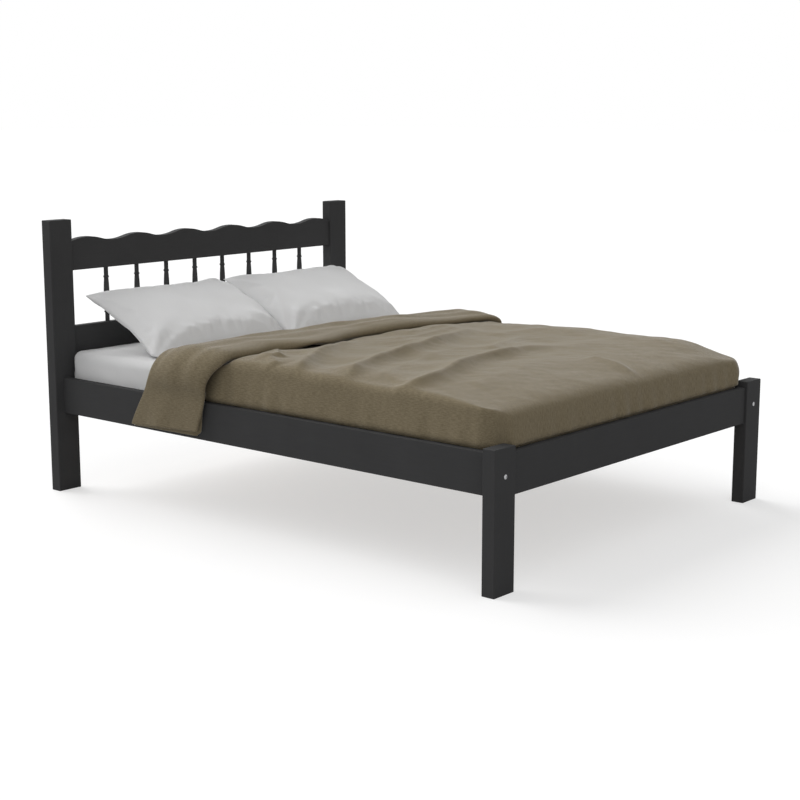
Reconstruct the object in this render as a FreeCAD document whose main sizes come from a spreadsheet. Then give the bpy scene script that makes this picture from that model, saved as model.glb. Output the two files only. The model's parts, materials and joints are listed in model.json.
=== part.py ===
"""Double bed with a spindle headboard, dressed with a mattress, sheet, comforter and two pillows.

Millimetres. +Z is up, +Y points to the head of the bed and +X is its right side, seen from the foot.
The origin is on the floor, under the middle of the bed. Sizes are cells of the sheet "Sizes", and an
expression such as "post_width / 2 + rail_thick" below is one on those cells.
"""
import FreeCAD, Part
import math
import os
import re
import Sketcher
from FreeCAD import Placement, Rotation, Vector

SIZES = {
    # Mattress and sheet: the frame is built round the mattress
    "mattress_width": 1380,
    "mattress_length": 1880,
    "mattress_thick": 140,
    "mattress_corner": 40,
    "mattress_edge": 35,
    "mattress_side_gap": 7.5,
    "mattress_end_gap": 13.5,
    "sheet_thick": 1.2,
    "sheet_gap": 0.3,
    "sheet_hem_rise": 5,
    # Posts, legs and rails
    "post_width": 95,
    "post_depth": 45,
    "post_round": 3,
    "post_rise": 65,
    "leg_rise": 20,
    "rail_thick": 28,
    "rail_height": 125,
    "rail_bottom": 280,
    "rail_round": 2,
    # Headboard
    "headboard_gap": 53,
    "lower_rail_height": 125,
    "top_rail_height": 115,
    "wave_length": 235,
    "wave_depth": 16.5,
    "spindle_count": 8,
    "spindle_end_space": 163.5,
    "spindle_length": 197,
    "spindle_dia": 16,
    "spindle_belly_dia": 21,
    "spindle_tenon_dia": 12,
    "spindle_tenon_length": 18,
    "bead_dia": 21,
    "bead_height": 8,
    "bead_inset": 35,
    # Joints of the frame
    "tenon_thick": 12,
    "tenon_shoulder": 15,
    "tenon_wall": 6.5,
    "mortise_gap": 2,
    "fit_gap": 0.2,
    "bolt_dia": 8,
    "bolt_head_dia": 14,
    "bolt_head_height": 4,
    "bolt_rim": 1,
    "bolt_socket": 5,
    "bolt_socket_depth": 2.5,
    "bolt_tail": 3,
    "barrel_dia": 14,
    "barrel_length": 20,
    "barrel_inset": 35,
    "dowel_dia": 8,
    "dowel_length": 40,
    "dowel_spread": 40,
    "dowel_gap": 0.5,
    # Slats and what carries them
    "slat_count": 13,
    "slat_width": 70,
    "slat_thick": 18,
    "slat_end_gap": 4,
    "slat_round": 3,
    "cleat_width": 25,
    "cleat_height": 30,
    "cleat_end_gap": 70,
    "beam_width": 45,
    "beam_height": 55,
    "beam_clear": 1,
    "beam_end_gap": 0.5,
    "hanger_thick": 2,
    "hanger_depth": 40,
    "hanger_height": 40,
    "hanger_flange": 25,
    "screw_dia": 4,
    "screw_head_dia": 8,
    "screw_bite": 20,
    # Comforter
    "soft_gap": 0.3,
    "comforter_loft": 52,
    "comforter_crown": 9,
    "comforter_corner": 40,
    "comforter_foot_share": 0.74,
    "tuck_rise": 9,
    "ridge_height": 17,
    "ridge_root": 12,
    "ridge_sink": 3,
    "ridge_foot_reach": 46,
    "ridge_head_reach": 120,
    "turndown_width": 345,
    "turndown_loft": 10,
    "turndown_crown": 9,
    "turndown_corner": 95,
    "turndown_clear": 1,
    "hem_round": 8,
    "nose_gap": 46,
    "nose_round": 30,
    "flap_thick": 24,
    "flap_drop": 118,
    "flap_hem_rise": 22,
    "flap_foot_lean": 79,
    "flap_head_lean": 76,
    # Pillows
    "pillow_width": 668,
    "pillow_height": 446,
    "pillow_thick": 130,
    "pillow_seam": 8,
    "pillow_draw_in": 14,
    "pillow_tilt_degrees": 25,
    "pillow_pair_gap": 1,
    "pillow_pair_across": 32,
    # Cuts reach this far past what they cut
    "overrun": 10,
}

# A pillow's cross sections from one end to the other: place along the width, thickness and height,
# as shares of half the width, the full thickness and the full height
PILLOW_SECTION_SHARES = (
    (-1, 0.11, 1),
    (-0.93, 0.34, 0.975),
    (-0.72, 0.74, 0.945),
    (-0.36, 0.96, 0.93),
    (0, 1, 0.925),
    (0.36, 0.96, 0.93),
    (0.72, 0.74, 0.945),
    (0.93, 0.34, 0.975),
    (1, 0.11, 1),
)

# Ridges that cross the comforter: each is a line of places across and along the bed with the ridge's
# height there, as shares of half the mattress's width, half its length and the full height
RIDGE_LINE_SHARES = (
    (
        (-0.94, -0.366, 0),
        (-0.70, -0.236, 1),
        (-0.41, -0.119, 1),
        (-0.05, -0.086, 1),
        (0.32, -0.062, 0.7),
        (0.66, -0.028, 0),
    ),
    (
        (-0.94, -0.615, 0),
        (-0.80, -0.584, 1),
        (-0.51, -0.508, 1),
        (-0.18, -0.440, 1),
        (0.06, -0.408, 0.9),
        (0.36, -0.500, 0),
    ),
    (
        (-0.94, -0.168, 0),
        (-0.78, -0.090, 0.8),
        (-0.58, -0.004, 0.8),
        (-0.35, 0.077, 0.6),
        (-0.08, 0.100, 0),
    ),
)

# Places that several pieces share
BED_WIDTH = "(mattress_width + 2 * mattress_side_gap + rail_thick + post_width)"
BED_LENGTH = "(mattress_length + 2 * mattress_end_gap + rail_thick + post_depth)"
CLEAR_WIDTH = f"({BED_WIDTH} - 2 * post_width)"
SPINDLE_PITCH = f"(({CLEAR_WIDTH} - 2 * spindle_end_space) / (spindle_count - 1))"
SIDE_RAIL_LENGTH = f"({BED_LENGTH} - 2 * post_depth)"
POST_ACROSS = f"({BED_WIDTH} / 2 - post_width / 2)"
POST_ALONG = f"({BED_LENGTH} / 2 - post_depth / 2)"
SIDE_RAIL_INNER = "(mattress_width / 2 + mattress_side_gap)"
SIDE_RAIL_OUTER = f"({SIDE_RAIL_INNER} + rail_thick)"
CROSS_RAIL_INNER = "(mattress_length / 2 + mattress_end_gap)"
RAIL_TOP = "(rail_bottom + rail_height)"
FOOT_LEG_HEIGHT = f"({RAIL_TOP} + leg_rise)"
LOWER_RAIL_BOTTOM = f"({RAIL_TOP} + headboard_gap)"
LOWER_RAIL_TOP = f"({LOWER_RAIL_BOTTOM} + lower_rail_height)"
TOP_RAIL_BOTTOM = f"({LOWER_RAIL_TOP} + spindle_length)"
TOP_RAIL_STRAIGHT = "(top_rail_height - wave_depth)"
HEAD_POST_HEIGHT = f"({TOP_RAIL_BOTTOM} + top_rail_height + post_rise)"
WAVE_RADIUS = "(wave_length^2 / (16 * wave_depth) + wave_depth / 4)"
BOLT_LEVEL = "(rail_bottom + rail_height / 2)"
BOLT_REACH = "(barrel_inset + barrel_dia / 2 + bolt_tail)"
TENON_LENGTH = "(post_width / 2 - bolt_dia / 2 - mortise_gap - tenon_wall)"
BEAM_BOTTOM = "(rail_bottom + beam_clear + hanger_thick)"
SLAT_SEAT = f"({BEAM_BOTTOM} + beam_height)"
SLAT_TOP = f"({SLAT_SEAT} + slat_thick)"
CLEAT_LENGTH = f"({SIDE_RAIL_LENGTH} - 2 * cleat_end_gap)"
SLAT_PITCH = f"(({CLEAT_LENGTH} - slat_width) / (slat_count - 1))"
MATTRESS_TOP = f"({SLAT_TOP} + mattress_thick)"
SHEET_GROWTH = "(sheet_gap + sheet_thick)"
SHEET_TOP = f"({MATTRESS_TOP} + {SHEET_GROWTH})"
COMFORTER_TOP = f"({SHEET_TOP} + comforter_loft)"
SPREAD_HALF = f"({SIDE_RAIL_INNER} - soft_gap)"
TURNDOWN_TOP = f"({COMFORTER_TOP} + turndown_loft)"
FLAP_OUTER = f"({SIDE_RAIL_OUTER} + soft_gap + flap_thick)"
FLAP_BOTTOM = f"({RAIL_TOP} - flap_drop)"
TILT = "(pillow_tilt_degrees * 1 deg)"
PILLOW_RISE = f"(pillow_height / 2 * sin({TILT}) + pillow_seam / 2 * cos({TILT}))"
PILLOW_REACH = f"(pillow_height / 2 * cos({TILT}) + pillow_seam / 2 * sin({TILT}))"
PILLOW_ALONG = f"({SIDE_RAIL_LENGTH} / 2 - soft_gap - {PILLOW_REACH})"
NOSE_ALONG = f"({PILLOW_ALONG} - {PILLOW_REACH} - nose_gap)"
HEM_ALONG = f"({NOSE_ALONG} - turndown_width)"

doc = FreeCAD.newDocument("double_bed")
sheet = doc.addObject("Spreadsheet::Sheet", "Sizes")
for row, (alias, size) in enumerate(SIZES.items(), start=1):
    sheet.set(f"A{row}", alias.replace("_", " "))
    sheet.set(f"B{row}", str(size))
    sheet.setAlias(f"B{row}", alias)
doc.recompute()

nodes = {}


def bound(expression):
    """The expression with every size's name pointing at its cell."""
    def cell(found):
        return f"Sizes.{found[0]}" if found[0] in SIZES else found[0]
    return re.sub(r"[a-z][a-z_]*", cell, expression)


def number(expression):
    """What the expression comes to with the sheet's sizes."""
    return float(sheet.evalExpression(bound(expression)))


def bind(thing, expressions):
    """Ties properties of a thing to the sheet."""
    for target, expression in expressions.items():
        thing.setExpression(target, bound(expression))


def place(thing, across="0", along="0", up="0"):
    """Ties a thing's place to the sheet."""
    bind(thing, {
        "Placement.Base.x": across,
        "Placement.Base.y": along,
        "Placement.Base.z": up,
    })
    return thing


def keep(label, thing):
    """Registers a finished sub-part under its name."""
    thing.Label = label
    nodes[label] = thing
    return thing


# Sketches and features

def new_body(name):
    return doc.addObject("PartDesign::Body", name)


def origin_part(body, role):
    return [part for part in body.Origin.OriginFeatures if part.Role == role][0]


def sketch_on(body, name, plane, lift="0"):
    """An empty sketch on one of the body's own planes, moved along the plane's normal by lift."""
    sketch = body.newObject("Sketcher::SketchObject", name)
    sketch.AttachmentSupport = [(origin_part(body, plane), "")]
    sketch.MapMode = "FlatFace"
    bind(sketch, {"AttachmentOffset.Base.z": lift})
    return sketch


def pin_point(sketch, edge, end, across, up):
    """Holds one point of an edge at its place, measured from the sketch's origin."""
    for kind, axis, expression in (("DistanceX", -2, across), ("DistanceY", -1, up)):
        if expression == "0":
            sketch.addConstraint(Sketcher.Constraint("PointOnObject", edge, end, axis))
        else:
            held = sketch.addConstraint(Sketcher.Constraint(kind, edge, end, number(expression)))
            bind(sketch, {f"Constraints[{held}]": expression})


def outline(sketch, corners):
    """Closes an outline through corners (across, up). A corner with two more items, (across, up,
    radius, side), starts an arc of that radius to the next corner, which stands out to the right
    of the way when side is 1 and to the left when it is -1."""
    points = [Vector(number(corner[0]), number(corner[1]), 0) for corner in corners]
    ends = []
    for index, corner in enumerate(corners):
        start = points[index]
        finish = points[(index + 1) % len(points)]
        if len(corner) == 2:
            edge = Part.LineSegment(start, finish)
        else:
            radius = number(corner[2])
            way = finish - start
            rise = radius - math.sqrt(radius**2 - (way.Length / 2)**2)
            right = Vector(way.y, -way.x, 0).normalize()
            edge = Part.ArcOfCircle(start, (start + finish) / 2 + right * rise * corner[3], finish)
        made = sketch.addGeometry(edge, False)
        turned_round = (sketch.getPoint(made, 1) - start).Length > (sketch.getPoint(made, 2) - start).Length
        ends.append((2, 1) if turned_round else (1, 2))
    for index, corner in enumerate(corners):
        after = (index + 1) % len(corners)
        join = Sketcher.Constraint("Coincident", index, ends[index][1], after, ends[after][0])
        sketch.addConstraint(join)
        pin_point(sketch, index, ends[index][0], corner[0], corner[1])
        if len(corner) > 2:
            held = sketch.addConstraint(Sketcher.Constraint("Radius", index, number(corner[2])))
            bind(sketch, {f"Constraints[{held}]": corner[2]})
    return sketch


def rectangle(sketch, across, up, width, height):
    """A rectangle about the middle (across, up)."""
    left = f"{across} - ({width}) / 2"
    right = f"{across} + ({width}) / 2"
    low = f"{up} - ({height}) / 2"
    high = f"{up} + ({height}) / 2"
    return outline(sketch, [(left, low), (right, low), (right, high), (left, high)])


def circle(sketch, across, up, diameter):
    centre = Vector(number(across), number(up), 0)
    ring = sketch.addGeometry(Part.Circle(centre, Vector(0, 0, 1), number(diameter) / 2), False)
    pin_point(sketch, ring, 3, across, up)
    held = sketch.addConstraint(Sketcher.Constraint("Diameter", ring, number(diameter)))
    bind(sketch, {f"Constraints[{held}]": diameter})
    return sketch


def pad(body, sketch, length, both_ways=False, backwards=False):
    feature = body.newObject("PartDesign::Pad", f"{sketch.Name}_pad")
    feature.Profile = sketch
    feature.SideType = "Symmetric" if both_ways else "One side"
    feature.Reversed = backwards
    bind(feature, {"Length": length})
    return feature


def pocket(body, sketch, depth, both_ways=False, backwards=False):
    """Cuts the sketch into the body, and stops if that takes nothing away."""
    doc.recompute()
    before = body.Shape.Volume
    feature = body.newObject("PartDesign::Pocket", f"{sketch.Name}_cut")
    feature.Profile = sketch
    feature.SideType = "Symmetric" if both_ways else "One side"
    feature.Reversed = backwards
    bind(feature, {"Length": depth})
    doc.recompute()
    if not body.Shape.Volume < before:
        raise RuntimeError(f"{feature.Name} of {body.Name} cuts nothing")
    return feature


def repeat(body, feature, axis, length, count):
    """Repeats a feature in a row along one of the body's axes."""
    pattern = body.newObject("PartDesign::LinearPattern", f"{feature.Name}_row")
    pattern.Originals = [feature]
    pattern.Direction = (origin_part(body, axis), [""])
    bind(pattern, {"Length": length})
    pattern.Occurrences = count
    body.Tip = pattern
    return pattern


def soften(body, radius, chosen):
    """Rounds the edges of the body's last feature that chosen(edge, box of the body) picks."""
    doc.recompute()
    base = body.Tip
    box = base.Shape.BoundBox
    edges = enumerate(base.Shape.Edges, start=1)
    picked = [f"Edge{index}" for index, edge in edges if chosen(edge, box)]
    fillet = body.newObject("PartDesign::Fillet", f"{body.Name}_round")
    fillet.Base = (base, picked)
    bind(fillet, {"Radius": radius})
    return fillet


def turned(name, corners):
    """A turned body: the outline, (radius, height) from the axis round to the axis, about Z."""
    body = new_body(name)
    profile = outline(sketch_on(body, f"{name}_profile", "XZ_Plane"), corners)
    feature = body.newObject("PartDesign::Revolution", f"{name}_turning")
    feature.Profile = profile
    feature.ReferenceAxis = (profile, ["V_Axis"])
    feature.Angle = 360
    return body


def combine(kind, name, base, tool):
    """A Part boolean of two objects: Cut, Fuse or Common."""
    result = doc.addObject(f"Part::{kind}", name)
    result.Base = base
    result.Tool = tool
    return result


def group(name, body, places):
    """Copies of one body at several places, kept as separate solids in one object."""
    doc.recompute()
    copies = []
    for spot in places:
        copy = body.Shape.copy()
        copy.Placement = spot
        copies.append(copy)
    thing = doc.addObject("Part::Feature", name)
    thing.Shape = Part.makeCompound(copies)
    return thing


def facing(across, along, up, axis=Vector(0, 0, 1), degrees=0):
    """A place worked out from the sheet, turned about an axis."""
    spot = Vector(number(across), number(along), number(up))
    return Placement(spot, Rotation(axis, degrees))


# Posts and rails

def post(label, height, side, end, tenons):
    """A post with a mortise for each tenon (bottom, height), a bolt hole and two dowel holes. Side is
    -1 on the left and 1 on the right, end is -1 at the foot and 1 at the head."""
    body = new_body(label)
    section = rectangle(sketch_on(body, f"{label}_section", "XY_Plane"), "0", "0", "post_width", "post_depth")
    pad(body, section, height)
    soften(body, "post_round", lambda edge, box: edge.CenterOfMass.z > box.ZMin + box.ZLength / 4)
    for index, (bottom, tall) in enumerate(tenons):
        mortise = sketch_on(body, f"{label}_mortise_{index}", "YZ_Plane", f"{-side} * post_width / 2")
        middle = f"({bottom}) + ({tall}) / 2"
        rectangle(mortise, "0", middle, "tenon_thick + 2 * fit_gap", f"{tall} + 2 * fit_gap")
        pocket(body, mortise, f"{TENON_LENGTH} + mortise_gap", backwards=side > 0)
    bolt_hole = sketch_on(body, f"{label}_bolt", "XZ_Plane")
    circle(bolt_hole, "0", BOLT_LEVEL, "bolt_dia + 2 * fit_gap")
    pocket(body, bolt_hole, "post_depth + 2 * overrun", both_ways=True)
    dowels = sketch_on(body, f"{label}_dowels", "XZ_Plane", f"{end} * post_depth / 2")
    for step in (-1, 1):
        circle(dowels, "0", f"{BOLT_LEVEL} + {step} * dowel_spread", "dowel_dia + 2 * fit_gap")
    pocket(body, dowels, "dowel_length / 2 + dowel_gap", backwards=end < 0)
    return keep(label, place(body, f"{side} * {POST_ACROSS}", f"{end} * {POST_ALONG}"))


def tenon_span(bottom, height):
    """Bottom and height of the tenon of a rail with this bottom and height."""
    return f"{bottom} + tenon_shoulder", f"({height} - 2 * tenon_shoulder)"


def cross_rail(label, end, bottom, height, straight):
    """A rail between two posts, with a tenon at each end. Straight is its height without a wave."""
    body = new_body(label)
    section = sketch_on(body, f"{label}_section", "YZ_Plane")
    pad(body, rectangle(section, "0", f"{height} / 2", "rail_thick", height), CLEAR_WIDTH, both_ways=True)
    soften(body, "rail_round", lambda edge, box: edge.BoundBox.XLength > box.XLength / 2)
    tenon = sketch_on(body, f"{label}_tenon", "YZ_Plane")
    low, tall = tenon_span("0", straight)
    rectangle(tenon, "0", f"{low} + {tall} / 2", "tenon_thick", tall)
    pad(body, tenon, f"{CLEAR_WIDTH} + 2 * {TENON_LENGTH}", both_ways=True)
    return place(body, "0", f"{end} * {POST_ALONG}", bottom)


def spindle_holes(body, label, lift, backwards):
    """A row of blind holes for the spindles' round tenons."""
    row_length = f"({CLEAR_WIDTH} - 2 * spindle_end_space)"
    hole = sketch_on(body, f"{label}_hole", "XY_Plane", lift)
    circle(hole, f"-{row_length} / 2", "0", "spindle_tenon_dia + 2 * fit_gap")
    first = pocket(body, hole, "spindle_tenon_length + mortise_gap", backwards=backwards)
    repeat(body, first, "X_Axis", row_length, int(number("spindle_count")))


def waved_top(body, label):
    """Cuts the top edge to a row of waves, with a hollow at the middle."""
    steps = math.ceil(number(CLEAR_WIDTH) / number("2 * wave_length"))
    middle = f"-{steps} * wave_length"
    half_way = "top_rail_height - wave_depth / 2"
    crest = "top_rail_height"
    hollow = sketch_on(body, f"{label}_wave", "XZ_Plane")
    outline(hollow, [
        (f"{middle} - wave_length / 2", crest, WAVE_RADIUS, -1),
        (f"{middle} - wave_length / 4", half_way, WAVE_RADIUS, 1),
        (f"{middle} + wave_length / 4", half_way, WAVE_RADIUS, -1),
        (f"{middle} + wave_length / 2", crest),
        (f"{middle} + wave_length / 2", f"{crest} + overrun"),
        (f"{middle} - wave_length / 2", f"{crest} + overrun"),
    ])
    wave = body.newObject("PartDesign::Pocket", f"{label}_wave_cut")
    wave.Profile = hollow
    wave.SideType = "Symmetric"
    bind(wave, {"Length": "rail_thick + 2 * overrun"})
    repeat(body, wave, "X_Axis", f"{2 * steps} * wave_length", 2 * steps + 1)


def headboard_rails():
    """The waved top rail and the straight lower rail, drilled for the spindles that join them."""
    label = "headboard_top_rail"
    top_rail = cross_rail(label, 1, TOP_RAIL_BOTTOM, "top_rail_height", TOP_RAIL_STRAIGHT)
    waved_top(top_rail, label)
    spindle_holes(top_rail, label, "0", True)
    keep(label, top_rail)
    label = "headboard_lower_rail"
    lower_rail = cross_rail(label, 1, LOWER_RAIL_BOTTOM, "lower_rail_height", "lower_rail_height")
    spindle_holes(lower_rail, label, "lower_rail_height", False)
    keep(label, lower_rail)


def spindle(label, index):
    """A turned spindle: round tenons, a bead near each end and a swelling between the beads."""
    bead_rise = "(bead_dia - spindle_dia)"
    bead_radius = f"(bead_height^2 / (4 * {bead_rise}) + {bead_rise} / 4)"
    swell = "(spindle_length - 2 * bead_inset - bead_height)"
    swell_rise = "(spindle_belly_dia - spindle_dia)"
    swell_radius = f"({swell}^2 / (4 * {swell_rise}) + {swell_rise} / 4)"
    end, tenon = "spindle_dia / 2", "spindle_tenon_dia / 2"
    low_bead = ("bead_inset - bead_height / 2", "bead_inset + bead_height / 2")
    high_bead = [f"spindle_length - ({level})" for level in reversed(low_bead)]
    body = turned(label, [
        ("0", "-spindle_tenon_length"),
        (tenon, "-spindle_tenon_length"),
        (tenon, "0"),
        (end, "0"),
        (end, low_bead[0], bead_radius, 1),
        (end, low_bead[1], swell_radius, 1),
        (end, high_bead[0], bead_radius, 1),
        (end, high_bead[1]),
        (end, "spindle_length"),
        (tenon, "spindle_length"),
        (tenon, "spindle_length + spindle_tenon_length"),
        ("0", "spindle_length + spindle_tenon_length"),
    ])
    across = f"({index} - (spindle_count - 1) / 2) * {SPINDLE_PITCH}"
    return keep(label, place(body, across, POST_ALONG, LOWER_RAIL_TOP))


def side_rail(label, side):
    """A side rail, drilled at both ends for a bolt, two dowels and, from inside, a barrel nut."""
    body = new_body(f"{label}_blank")
    section = sketch_on(body, f"{label}_section", "XZ_Plane")
    rectangle(section, "0", "rail_height / 2", "rail_thick", "rail_height")
    pad(body, section, SIDE_RAIL_LENGTH, both_ways=True)
    soften(body, "rail_round", lambda edge, box: edge.BoundBox.YLength > box.YLength / 2)
    middle = "rail_height / 2"
    for end in (-1, 1):
        tag = f"{label}_{'head' if end > 0 else 'foot'}"
        lift = f"{-end} * {SIDE_RAIL_LENGTH} / 2"
        bolt_hole = sketch_on(body, f"{tag}_bolt", "XZ_Plane", lift)
        circle(bolt_hole, "0", middle, "bolt_dia + 2 * fit_gap")
        pocket(body, bolt_hole, f"{BOLT_REACH} + fit_gap", backwards=end > 0)
        dowels = sketch_on(body, f"{tag}_dowels", "XZ_Plane", lift)
        for step in (-1, 1):
            circle(dowels, "0", f"{middle} + {step} * dowel_spread", "dowel_dia + 2 * fit_gap")
        pocket(body, dowels, "dowel_length / 2 + dowel_gap", backwards=end > 0)
        barrel = sketch_on(body, f"{tag}_barrel", "YZ_Plane", f"{-side} * rail_thick / 2")
        along = f"{end} * ({SIDE_RAIL_LENGTH} / 2 - barrel_inset)"
        circle(barrel, along, middle, "barrel_dia + 2 * fit_gap")
        pocket(body, barrel, "rail_thick / 2 + barrel_length / 2 + fit_gap", backwards=side > 0)
    return place(body, f"{side} * {POST_ACROSS}", "0", "rail_bottom")


# Fasteners

def bolt():
    """A button-head bolt along Z, its head's underside at zero, with a hexagon socket."""
    dome_rise = "(bolt_head_height - bolt_rim)"
    dome_radius = f"((bolt_head_dia / 2)^2 / (2 * {dome_rise}) + {dome_rise} / 2)"
    length = f"(post_depth + {BOLT_REACH})"
    body = turned("bolt", [
        ("0", f"-{length}"),
        ("bolt_dia / 2", f"-{length}"),
        ("bolt_dia / 2", "0"),
        ("bolt_head_dia / 2", "0"),
        ("bolt_head_dia / 2", "bolt_rim", dome_radius, 1),
        ("0", "bolt_head_height"),
    ])
    socket = sketch_on(body, "bolt_socket_outline", "XY_Plane", "bolt_head_height")
    corner = "bolt_socket / 2 / cos(30 deg)"
    turns = [60 * index for index in range(6)]
    outline(socket, [(f"{corner} * cos({turn} deg)", f"{corner} * sin({turn} deg)") for turn in turns])
    pocket(body, socket, "bolt_socket_depth")
    return body


def barrel_nut():
    """A barrel nut along Z about its middle, with a threaded bore across it."""
    body = turned("barrel_nut", [
        ("0", "-barrel_length / 2"),
        ("barrel_dia / 2", "-barrel_length / 2"),
        ("barrel_dia / 2", "barrel_length / 2"),
        ("0", "barrel_length / 2"),
    ])
    bore = circle(sketch_on(body, "barrel_bore", "XZ_Plane"), "0", "0", "bolt_dia + 2 * fit_gap")
    pocket(body, bore, "barrel_dia + 2 * overrun", both_ways=True)
    return body


def dowel():
    """A dowel along Z about its middle, with its ends chamfered."""
    body = turned("dowel", [
        ("0", "-dowel_length / 2"),
        ("dowel_dia / 4", "-dowel_length / 2"),
        ("dowel_dia / 2", "-dowel_length / 2 + dowel_dia / 4"),
        ("dowel_dia / 2", "dowel_length / 2 - dowel_dia / 4"),
        ("dowel_dia / 4", "dowel_length / 2"),
        ("0", "dowel_length / 2"),
    ])
    return body


def screw(name, length, room="0"):
    """A countersunk screw, its flush head at zero and its point down -Z, with room all round."""
    head = f"(screw_head_dia / 2 + {room})"
    shank = f"(screw_dia / 2 + {room})"
    return turned(name, [
        ("0", f"-{length} - {room}"),
        (shank, f"-{length} - {room} + {shank}"),
        (shank, f"{shank} - {head}"),
        (head, "0"),
        ("0", "0"),
    ])


def screw_group(label, length, places):
    """The screws of one kind; what is returned is the holes that they need."""
    keep(label, group(label, screw(f"{label}_one", length), places))
    return group(f"{label}_holes", screw(f"{label}_hole", length, "fit_gap"), places)


# Slats and what carries them

def slat_row():
    """How far along the bed each slat lies."""
    count = int(number("slat_count"))
    return [f"({index} - (slat_count - 1) / 2) * {SLAT_PITCH}" for index in range(count)]


def board(label, width, length, height, across, along, up, long_axis):
    """A planed board about a middle, standing on up, with its long edges eased."""
    body = new_body(f"{label}_blank")
    plane = "YZ_Plane" if long_axis == "X" else "XZ_Plane"
    section = sketch_on(body, f"{label}_section", plane)
    rectangle(section, "0", f"{height} / 2", width, height)
    pad(body, section, length, both_ways=True)
    side = f"{long_axis}Length"
    soften(body, "slat_round", lambda edge, box: getattr(edge.BoundBox, side) > getattr(box, side) / 2)
    return place(body, across, along, up)


def hanger(label, end, holes):
    """A steel stirrup under one end of the beam, with a flange each side against the cross rail."""
    inner = "(beam_width + 2 * fit_gap)"
    outer = f"({inner} + 2 * hanger_thick)"
    body = new_body(f"{label}_blank")
    lift = f"{-end} * {CROSS_RAIL_INNER}"
    base = f"({BEAM_BOTTOM} - hanger_thick)"
    top = f"({base} + hanger_height)"
    stirrup = sketch_on(body, f"{label}_stirrup", "XZ_Plane", lift)
    outline(stirrup, [
        (f"-{outer} / 2", base),
        (f"{outer} / 2", base),
        (f"{outer} / 2", top),
        (f"{inner} / 2", top),
        (f"{inner} / 2", f"{base} + hanger_thick"),
        (f"-{inner} / 2", f"{base} + hanger_thick"),
        (f"-{inner} / 2", top),
        (f"-{outer} / 2", top),
    ])
    pad(body, stirrup, "hanger_depth", backwards=end < 0)
    for side in (-1, 1):
        flange = sketch_on(body, f"{label}_flange_{'right' if side > 0 else 'left'}", "XZ_Plane", lift)
        width = "(hanger_thick + hanger_flange)"
        middle = f"{side} * ({inner} / 2 + {width} / 2)"
        rectangle(flange, middle, f"{base} + hanger_height / 2", width, "hanger_height")
        pad(body, flange, "hanger_thick", backwards=end < 0)
    return keep(label, combine("Cut", label, body, holes))


# Bedding

def mattress_form(name, growth, bottom, rounded_below=False):
    """The mattress's block, grown by growth at its sides and top and standing on bottom."""
    body = new_body(name)
    plan = sketch_on(body, f"{name}_plan", "XY_Plane", bottom)
    rectangle(plan, "0", "0", f"mattress_width + 2 * {growth}", f"mattress_length + 2 * {growth}")
    pad(body, plan, f"{MATTRESS_TOP} + {growth} - ({bottom})")
    soften(body, f"mattress_corner + {growth}", lambda edge, box: edge.BoundBox.ZLength > box.ZLength / 2)

    def rim(edge, box):
        lift = edge.CenterOfMass.z - box.Center.z
        return lift > box.ZLength / 4 or (rounded_below and lift < -box.ZLength / 4)
    soften(body, f"mattress_edge + {growth}", rim)
    return body


def crowned_section(half, bottom, top, corner, crown):
    """A section across the bed with upright sides, round shoulders and an arched top: the arch, of
    height crown over the whole width, meets the shoulders of radius corner without a kink."""
    arch = f"(({half})^2 / (2 * {crown}) + {crown} / 2)"
    reach = f"sqrt(({arch} - {corner})^2 - ({half} - {corner})^2)"
    shoulder = f"({top} - {arch} + {reach})"
    meet_across = f"({arch} * ({half} - {corner}) / ({arch} - {corner}))"
    meet_up = f"({top} - {arch} + {arch} * {reach} / ({arch} - {corner}))"
    return [
        (f"-{half}", bottom),
        (half, bottom),
        (half, shoulder, corner, 1),
        (meet_across, meet_up, arch, 1),
        (f"-{meet_across}", meet_up, corner, 1),
        (f"-{half}", shoulder),
    ]


def comforter_spread():
    """The comforter from the foot to its fold: arched on top, tucked down inside the rails."""
    body = new_body("comforter_spread")
    foot = f"({CROSS_RAIL_INNER} - soft_gap)"
    section = sketch_on(body, "spread_section", "XZ_Plane", foot)
    bottom = f"({SLAT_TOP} + tuck_rise)"
    crowned = crowned_section(SPREAD_HALF, bottom, COMFORTER_TOP, "comforter_corner", "comforter_crown")
    outline(section, crowned)
    pad(body, section, f"{foot} + ({HEM_ALONG} + {NOSE_ALONG}) / 2", backwards=True)

    def foot_edge(edge, box):
        at_foot = edge.BoundBox.YMax < box.Center.y
        return at_foot and edge.BoundBox.ZMax > box.Center.z
    soften(body, "comforter_foot_share * comforter_corner", foot_edge)
    return body


def comforter_ridge(name, line_shares):
    """A ridge across the spread, steep towards the foot and gentle towards the head. Its root is in the
    spread, and its ends sink below the arched top."""
    body = new_body(name)
    sections = []
    for index, (across_share, along_share, height_share) in enumerate(line_shares):
        across = f"({across_share} * mattress_width / 2)"
        along = f"({along_share} * mattress_length / 2)"
        surface = f"({COMFORTER_TOP} - comforter_crown * ({across} / {SPREAD_HALF})^2)"
        section = sketch_on(body, f"{name}_section_{index}", "YZ_Plane", across)
        sections.append(outline(section, [
            (f"{along} - ridge_foot_reach", f"{surface} - ridge_root"),
            (f"{along} + ridge_head_reach", f"{surface} - ridge_root"),
            (along, f"{surface} - ridge_sink + {height_share} * (ridge_height + ridge_sink)"),
        ]))
    loft = body.newObject("PartDesign::AdditiveLoft", f"{name}_loft")
    loft.Profile = sections[0]
    loft.Sections = sections[1:]
    return body


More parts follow.
